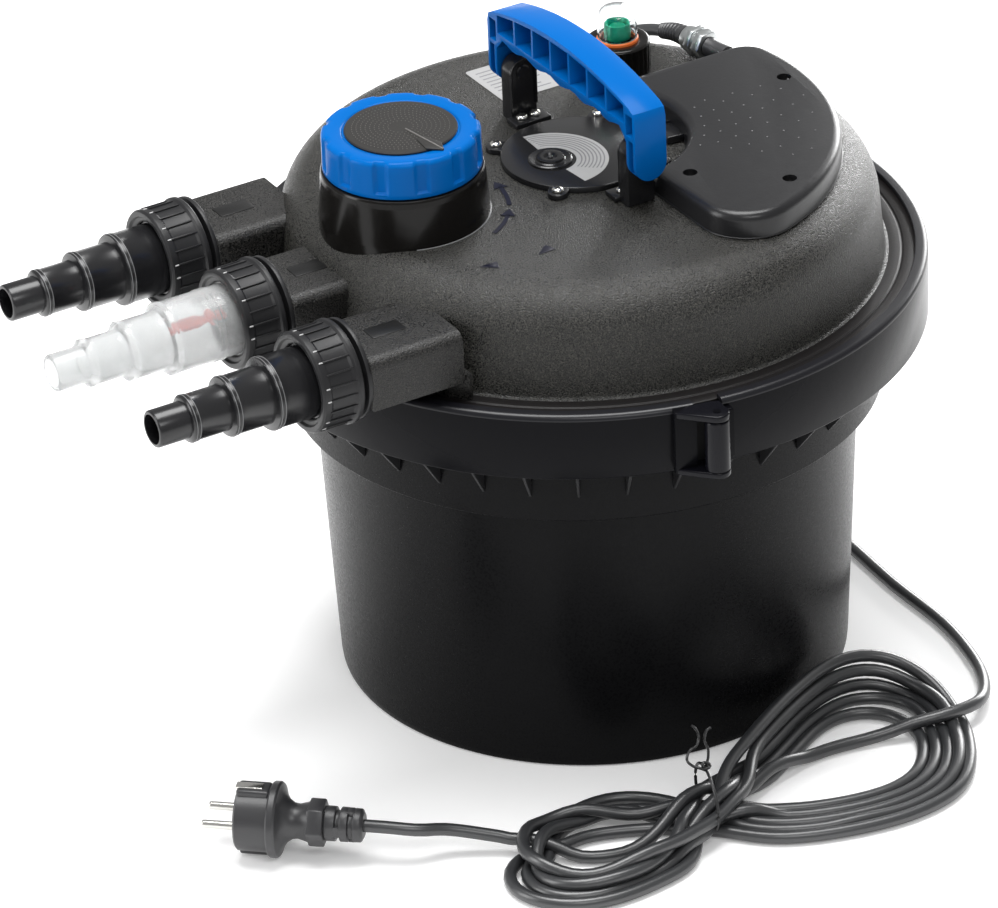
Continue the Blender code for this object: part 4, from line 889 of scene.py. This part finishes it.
def uvc_outline(inset):
    """The lamp cover's plan: a quarter disc with its inner corner cut away round the centre cover."""
    arc_r, notch, back, left = 0.1475 - inset, 0.0615 + inset, 0.043 - inset, 0.0125 + inset
    front_r, back_r = 0.028 - inset, 0.017 - inset
    back_centre = (sqrt((arc_r - back_r) ** 2 - (back - back_r) ** 2), back - back_r)
    front_centre = (left + front_r, -sqrt((arc_r - front_r) ** 2 - (left + front_r) ** 2))
    sweep0 = atan2(front_centre[1], front_centre[0])
    sweep1 = atan2(back_centre[1], back_centre[0])
    outline = arc((0, 0), notch, asin(back / notch), -acos(left / notch), 28)
    outline += arc(front_centre, front_r, -pi, sweep0, 14)
    outline += arc((0, 0), arc_r, sweep0, sweep1, 40)[1:-1]
    return outline + arc(back_centre, back_r, sweep1, pi / 2, 10)


def add_uvc_cover():
    """The lamp cover: a shell with a soft top edge, three deep screw holes and a fan of small dots."""
    cover = Piece("uvc_cover_look")
    z0, top = SEAT, 0.325
    cover.prism(uvc_outline(0), z0, top, UVC, bevel=0.005, steps=6,
        holes=[(x, y, 0.0041, top - UVC_SCREW_SEAT) for x, y in UVC_SCREWS])
    cover.prism(uvc_outline(-0.0004), z0, z0 + 0.0007, UVC, bevel=0.0003, steps=1)
    for row in range(8):
        radius = 0.071 + 0.0088 * row
        for k in range(5):
            a = radians(-9 - 9.5 * k + (4.0 if row % 2 else 0))
            x, y = polar(radius, a)
            cover.disc(0.00055, top - 0.0002, top + 0.0002, DOT, at(x, y), 10, 0.0002)
    # a small bridge in the notch with two raised edges
    bridge = rotation(radians(-7))
    cover.box((0.0505, -0.01, z0), (0.064, 0.01, z0 + 0.003), SATIN, bridge, 0.0008)
    for side in (-1, 1):
        cover.box((0.0505, side * 0.0095 - 0.0007, z0), (0.064, side * 0.0095 + 0.0007, z0 + 0.0046), SATIN,
            bridge, 0.0005)
    cover.done("uvc_cover", sharp=50)


def add_indicator():
    """The dirt indicator: a knurled collar, an orange seal, a clear dome and the green float in it."""
    x, y = 0.075, 0.079
    place = at(x, y)
    z0 = SEAT

    def knurl(radius, z, angle):
        if radius < 0.0175 or z < z0 + 0.0015 or z > 0.3285:
            return radius
        return radius - 0.001 * max(0, min(1.0, 0.5 + 1.6 * cos(28 * angle)))

    profile = flat_mm((11.8, 0), (17.6, 0), (18.6, 0.8), (18.6, 1.4), (18.6, 1.8), z=z0)
    profile += flat_mm((18.6, 328.2), (18.6, 328.7), (18, 329.6), (17.2, 330), (12.6, 330), (12.2, 329.7),
        (12.2, 327), (11.8, 327))
    collar = Piece("indicator_collar_look").lathe(profile, GLOSSY, 336, place, shape=knurl)
    collar.done("indicator_collar", sharp=50)
    section = rounded(flat_mm((9.8, 327.4), (12, 327.4), (12, 331.6), (9.8, 331.6)), 0.0008)
    Piece("indicator_seal_look").lathe(section, ORANGE, 64, place).done("indicator_seal", sharp=60)
    outer = [(0.0115, 0.332), (0.0115, 0.344)] + arc((0.0051, 0.344), 0.0064, radians(10), radians(80), 8)
    outer += [(0.004, 0.3515), (0, 0.352)]
    inner = [(0, 0.3508), (0.004, 0.3503)] + arc((0.0051, 0.344), 0.0052, radians(80), radians(10), 8)
    inner += [(0.0103, 0.344), (0.0103, 0.332)]
    Piece("indicator_dome_look").lathe(outer + inner, DOME, 64, place).done("indicator_dome", sharp=60)
    section = flat_mm((0, 311.2), (1.8, 311.2), (2, 311.6), (2, 331.2), (7.4, 331.2), (7.8, 331.8),
        (7.8, 336), (7.5, 336.4), (7.5, 339.8), (7, 340.5), (6.2, 340.5), (5.7, 339.8), (5.5, 337.2),
        (0, 337))
    cup = Piece("indicator_float_look").lathe(section, GREEN, 48, place)
    cup.done("indicator_float", body="float", sharp=45)


def add_gland():
    """Rubber stub from the lamp cover, a plated hex nut with a round cap, and a ribbed boot."""
    upright = rotation(GLAND_HEADING + pi / 2) @ rotation(radians(90), "X")
    place = Matrix.Translation(GLAND_START) @ upright
    section = flat_mm((0, 0), (5.2, 0), (5.3, 3), (5, 6), (5.3, 11), (6, 14.9), (0, 14.9))
    Piece("gland_body_look").lathe(section, RUBBER, 48, place).done("gland_body")
    nut = Piece("gland_nut_look")
    hexagon = [polar(0.0095, pi / 3 * i) for i in range(6)]
    nut.prism(rounded(hexagon, 0.0007, 2), 0.0154, 0.0215, ZINC, place, 0.0006, 2, both=True)
    nut.lathe(flat_mm((0, 21), (7.4, 21), (7.4, 22.8), (8, 23.2), (8, 23.6), (0, 23.6)), ZINC, 48, place)
    nut.prism(rounded(hexagon, 0.0009, 2), 0.0236, 0.0278, ZINC, place, 0.0007, 2, both=True)
    nut.lathe(flat_mm((0, 27), (7.7, 27), (7.7, 30), (7, 33), (6.2, 33.9), (0, 33.9)), ZINC, 48, place)
    nut.done("gland_nut")
    path = smooth_path(boot_path(), 0.0006)
    radii = []
    for i in range(len(path)):
        t = i / (len(path) - 1)
        radii.append(0.0062 - 0.0014 * t - (0.0005 if (i // 2) % 2 and 0.12 < t < 0.92 else 0))
    Piece("gland_boot_look").tube([Vector(p) for p in path], radii, RUBBER, 32).done("gland_boot")


# ---- tub, lid and band
def add_tub():
    """The tub with its stepped collar, its rim and forty thin gussets under the rim."""
    tub = Piece("tub_look")
    outer = flat_mm((142, 0), (146.6, 0.6), (147, 4), (154.8, 172.2), (155.2, 172.9), (168.4, 172.7),
        (169.1, 173.5), (170, 215), (171.2, 218), (188.5, 218.8), (188.5, 230), (166.1, 230),
        (166.1, 177.5), (165, 176.2), (151.3, 176.2), (143.3, 6), (141.8, 4.5))
    tub.lathe([(0, 0)] + rounded(outer, 0.0006, 2, closed=False) + [(0, 0.0045)], TUB, 240)
    rib = flat_mm((167.9, 188.5), (169.8, 188.3), (189, 212.6), (189, 213.4), (185, 213.4), (185, 219.2),
        (167.9, 219.2))
    # the gussets take the lighter moulded black, not the tub's own: a painted highlight for the light on
    # their edges
    for i in range(40):
        spin = rotation(radians(3.6 + 9 * i)) @ rotation(radians(90), "X")
        tub.prism(rib, -0.0008, 0.0008, MOULDED, spin, 0.0003, 1, both=True)
    tub.done("tub", sharp=40)


def dome_outline():
    """The dome's section, from its foot over the top and back along its inside."""
    shoulder = arc((0.14, 0.2815), 0.028, radians(6), radians(90), 18)
    foot = flat_mm((172.8, 250.4), (171.4, 250.9), (170.6, 252.2))
    inside = [(0.14, 0.306)] + arc((0.14, 0.2815), 0.0245, radians(80), radians(6), 10) + [(0.166, 0.248)]
    return foot + shoulder + [(0, LID_TOP), (0, LID_TOP - 0.0035)] + inside + [(0.1728, 0.248)]


def add_lid():
    """The grained dome and its smooth flange, with three flat-topped housings for the hose stubs."""
    lid = Piece("lid_look")
    lid.lathe(dome_outline(), GRAINED, 288)
    flange = flat_mm((165, 235.2), (188.5, 235.2), (188.5, 250.4), (181.2, 250.4), (180.6, 249.8),
        (179.8, 249.8), (179.2, 250.4), (165, 250.4))
    lid.lathe(rounded(flange, 0.0005, steps=2), FLANGE, 240)
    half, z0, z1 = 0.028, 0.262, 0.293
    section = [(-half, z0), (half, z0), (half, z1), (-half, z1)]
    section = rounded(section, [0.0008, 0.0008, 0.0068, 0.0068], 8)
    to_x = Matrix(((0, 0, -1, 0), (-1, 0, 0, 0), (0, 1, 0, 0), (0, 0, 0, 1)))
    for key, y in PIPES.items():
        place = at(0, y) @ to_x
        lid.prism(section, 0.142, 0.199, HOUSING, place, 0.0012, 3)
        start = 0.137
        outline = [(-start, y - half + 0.0004), (-start, y + half - 0.0004)]
        for i in range(25):
            side = y + (half - 0.0004) * (1 - i / 12)
            outline.append((-min(0.1545, sqrt(0.179 ** 2 - side ** 2)), side))
        lid.prism(outline, 0.25, z0 + 0.004, HOUSING)
        # a shallow raised panel on the housing
        lid.box((-0.185, y - 0.006, z1 - 0.0004), (-0.164, y + 0.006, z1 + 0.0004), PANEL, IDENTITY, 0.0005)
        pipe = pipe_frame(y)
        collar = flat_mm((0, -5.4), (28.5, -5.4), (28.5, -2.8), (23, -2.8), (23, 15.8), (13, 15.8), (13, 2),
            (0, 2))
        lid.lathe(rounded(collar, 0.0004, 2, closed=False), MOULDED, 96, pipe)
    add_marks(lid)
    lid.done("lid", sharp=45)


def add_marks(lid):
    """Two curved arrows beside the dial and two plain triangles, raised a little from the lid."""
    z0, z1 = LID_TOP - 0.0004, LID_TOP + 0.0004
    for x, y, turn in ((-0.072, -0.084, 200), (-0.106, -0.082, 160)):
        triangle = [polar(0.0062, radians(turn + a)) for a in (0, 140, 220)]
        lid.prism(rounded(triangle, 0.0004), z0, z1, MARK, at(x, y), 0.0002, 1)
    for a0, a1 in ((-62, -40), (-28, -6)):
        lid.prism(sector(0.059, 0.0565, 0, a0, a1, 12, (DIAL_X, 0)), z0, z1, MARK)
        head = [polar(r, radians(a)) for r, a in ((0.0578, a1 + 7), (0.062, a1 - 1), (0.0538, a1 - 1))]
        lid.prism([(DIAL_X + x, y) for x, y in head], z0, z1, MARK)


BAND_BODY = ((0.186, 0.214), (0.1943, 0.214), (0.195, 0.215), (0.195, 0.25), (0.1905, 0.25),
    (0.1905, 0.217), (0.186, 0.217))
BAND_TOP = ((0.1905, 0.25), (0.195, 0.25), *arc((0.1918, 0.25), 0.0032, radians(10), radians(90), 7),
    (0.188, 0.2532), (0.1876, 0.2528), (0.1876, 0.2507), (0.1905, 0.2507))


def sector(r0, r1, base, first, last, steps=6, centre=(0, 0)):
    """The outline of a piece of a ring, from first to last degrees past the base angle."""
    a0, a1 = base + radians(first), base + radians(last)
    return arc(centre, r0, a0, a1, steps) + arc(centre, r1, a1, a0, steps)


def add_section(piece, first, last):
    """The band's section from one angle to another: the body, and the lip in a lighter, shinier copy of the
    band's black that paints a highlight along its top edge.
    """
    for section, mat in ((BAND_BODY, BAND), (BAND_TOP, BAND_LIP_HIGHLIGHT)):
        piece.lathe(section, mat, 150, start=first, sweep=last - first)


def add_band():
    """The two halves of the clamp band, joined by the hinge at the front and the latch at the back."""
    px, py = polar(HINGE_R, HINGE)
    z0, z1 = 0.214, 0.2532
    left = Piece("band_left_look")
    add_section(left, LATCH + radians(0.4), HINGE + 2 * pi - radians(2.6))
    left.prism(sector(0.193, 0.2, HINGE, -6.2, -2.7), z0 + 0.0005, z1 - 0.0005, BAND, bevel=0.0007,
        both=True)
    back = HINGE - radians(3.4)
    ear = arc((px, py), 0.007, HINGE - radians(35), HINGE + radians(115), 16)
    ear += [polar(0.1948, HINGE + radians(1.7)), polar(0.1935, HINGE), polar(0.1935, back),
        polar(0.1998, HINGE - radians(6.0))]
    for low, high in ((z0 + 0.0002, z0 + 0.004), (z1 - 0.0042, z1 - 0.0001)):
        left.prism(ear, low, high, KNUCKLE, bevel=0.001, both=True)
    # a dark block in the slot beside the hinge: painted shade
    left.prism(sector(0.1908, 0.1936, HINGE, -3, 0.5), z0 + 0.0006, z1 - 0.0044, PAINTED_SHADE)
    lug = LATCH + radians(5)
    for low, high in ((0.224, 0.2262), (0.239, 0.2412)):
        left.prism(sector(0.193, 0.205, lug, -1.6, 1.6), low, high, BAND, bevel=0.0005, both=True)
    left.done("band_left", sharp=40)
    right = Piece("band_right_look")
    add_section(right, HINGE + radians(2.2), LATCH - radians(0.4))
    right.disc(0.0069, z0 + 0.0044, z1 - 0.0046, KNUCKLE, at(px, py), 48, 0.0008)
    right.prism(sector(0.193, 0.1992, HINGE, 0.9, 3.6), z0 + 0.0044, z1 - 0.0046, BAND, bevel=0.0008,
        both=True)
    right.prism(sector(0.193, 0.201, LATCH, -3.6, -1.6), 0.2266, 0.2386, BAND, bevel=0.0006, both=True)
    right.done("band_right", body="band_swing", sharp=40)
    refined("latch_look", "latch_lever", BAND, 0.0006).done("latch_lever", body="latch")


# ---- what keeps its CAD shape, and the whole set
def dress_rest():
    """Procedural materials for the CAD pieces that are mostly hidden."""
    looks = {
        "hinge_pin": BAND, "rim_gasket": RUBBER, "tail_gasket_a": RUBBER, "tail_gasket_b": RUBBER,
        "tail_gasket_c": RUBBER, "valve_rotor": CERAMIC, "ballast": CERAMIC, "quartz_sleeve": DOME,
        "uvc_lamp": CERAMIC, "sponge_lower": FOAM, "sponge_upper": FOAM, "sponge_plate": MOULDED,
    }
    for name, mat in looks.items():
        mesh = bpy.data.objects[name].data
        if mesh.materials:
            mesh.materials[0] = mat
        else:
            mesh.materials.append(mat)


def add_label():
    """A silver plate on the lid behind the handle, with plain bars where a real one has its print."""
    plate = Piece("label_plate")
    outline = rounded(flat_mm((1, 82), (40, 82), (40, 127), (1, 127)), 0.002)
    plate.prism(outline, LID_TOP + 0.00003, LID_TOP + 0.00018, SILVER)
    for i in range(9):
        y = 0.087 + 0.0042 * i
        plate.box((0.005, y, LID_TOP + 0.0001), (0.035 - 0.004 * (i % 3), y + 0.0011, LID_TOP + 0.00024),
            PRINT)
    plate.done(slot="steel")


def add_pieces():
    """Every piece but the cord's, and the materials of the rest."""
    add_tub()
    add_lid()
    add_band()
    for key, y in PIPES.items():
        add_nut(key, y)
    add_tail("a", PIPES["a"], TAIL_STEPS, SATIN, 0.0168)
    add_tail("b", PIPES["b"], SIGHT_STEPS, CLEAR, 0.0176, ridges=(0.0327, 0.036))
    add_tail("c", PIPES["c"], TAIL_STEPS, SATIN, 0.0168)
    add_flap()
    add_dial()
    add_housing()
    add_handle()
    add_screws()
    add_centre_cover()
    add_uvc_cover()
    add_indicator()
    add_gland()
    add_label()
    dress_rest()


add_camera()
add_studio()
add_cord()
add_pieces()
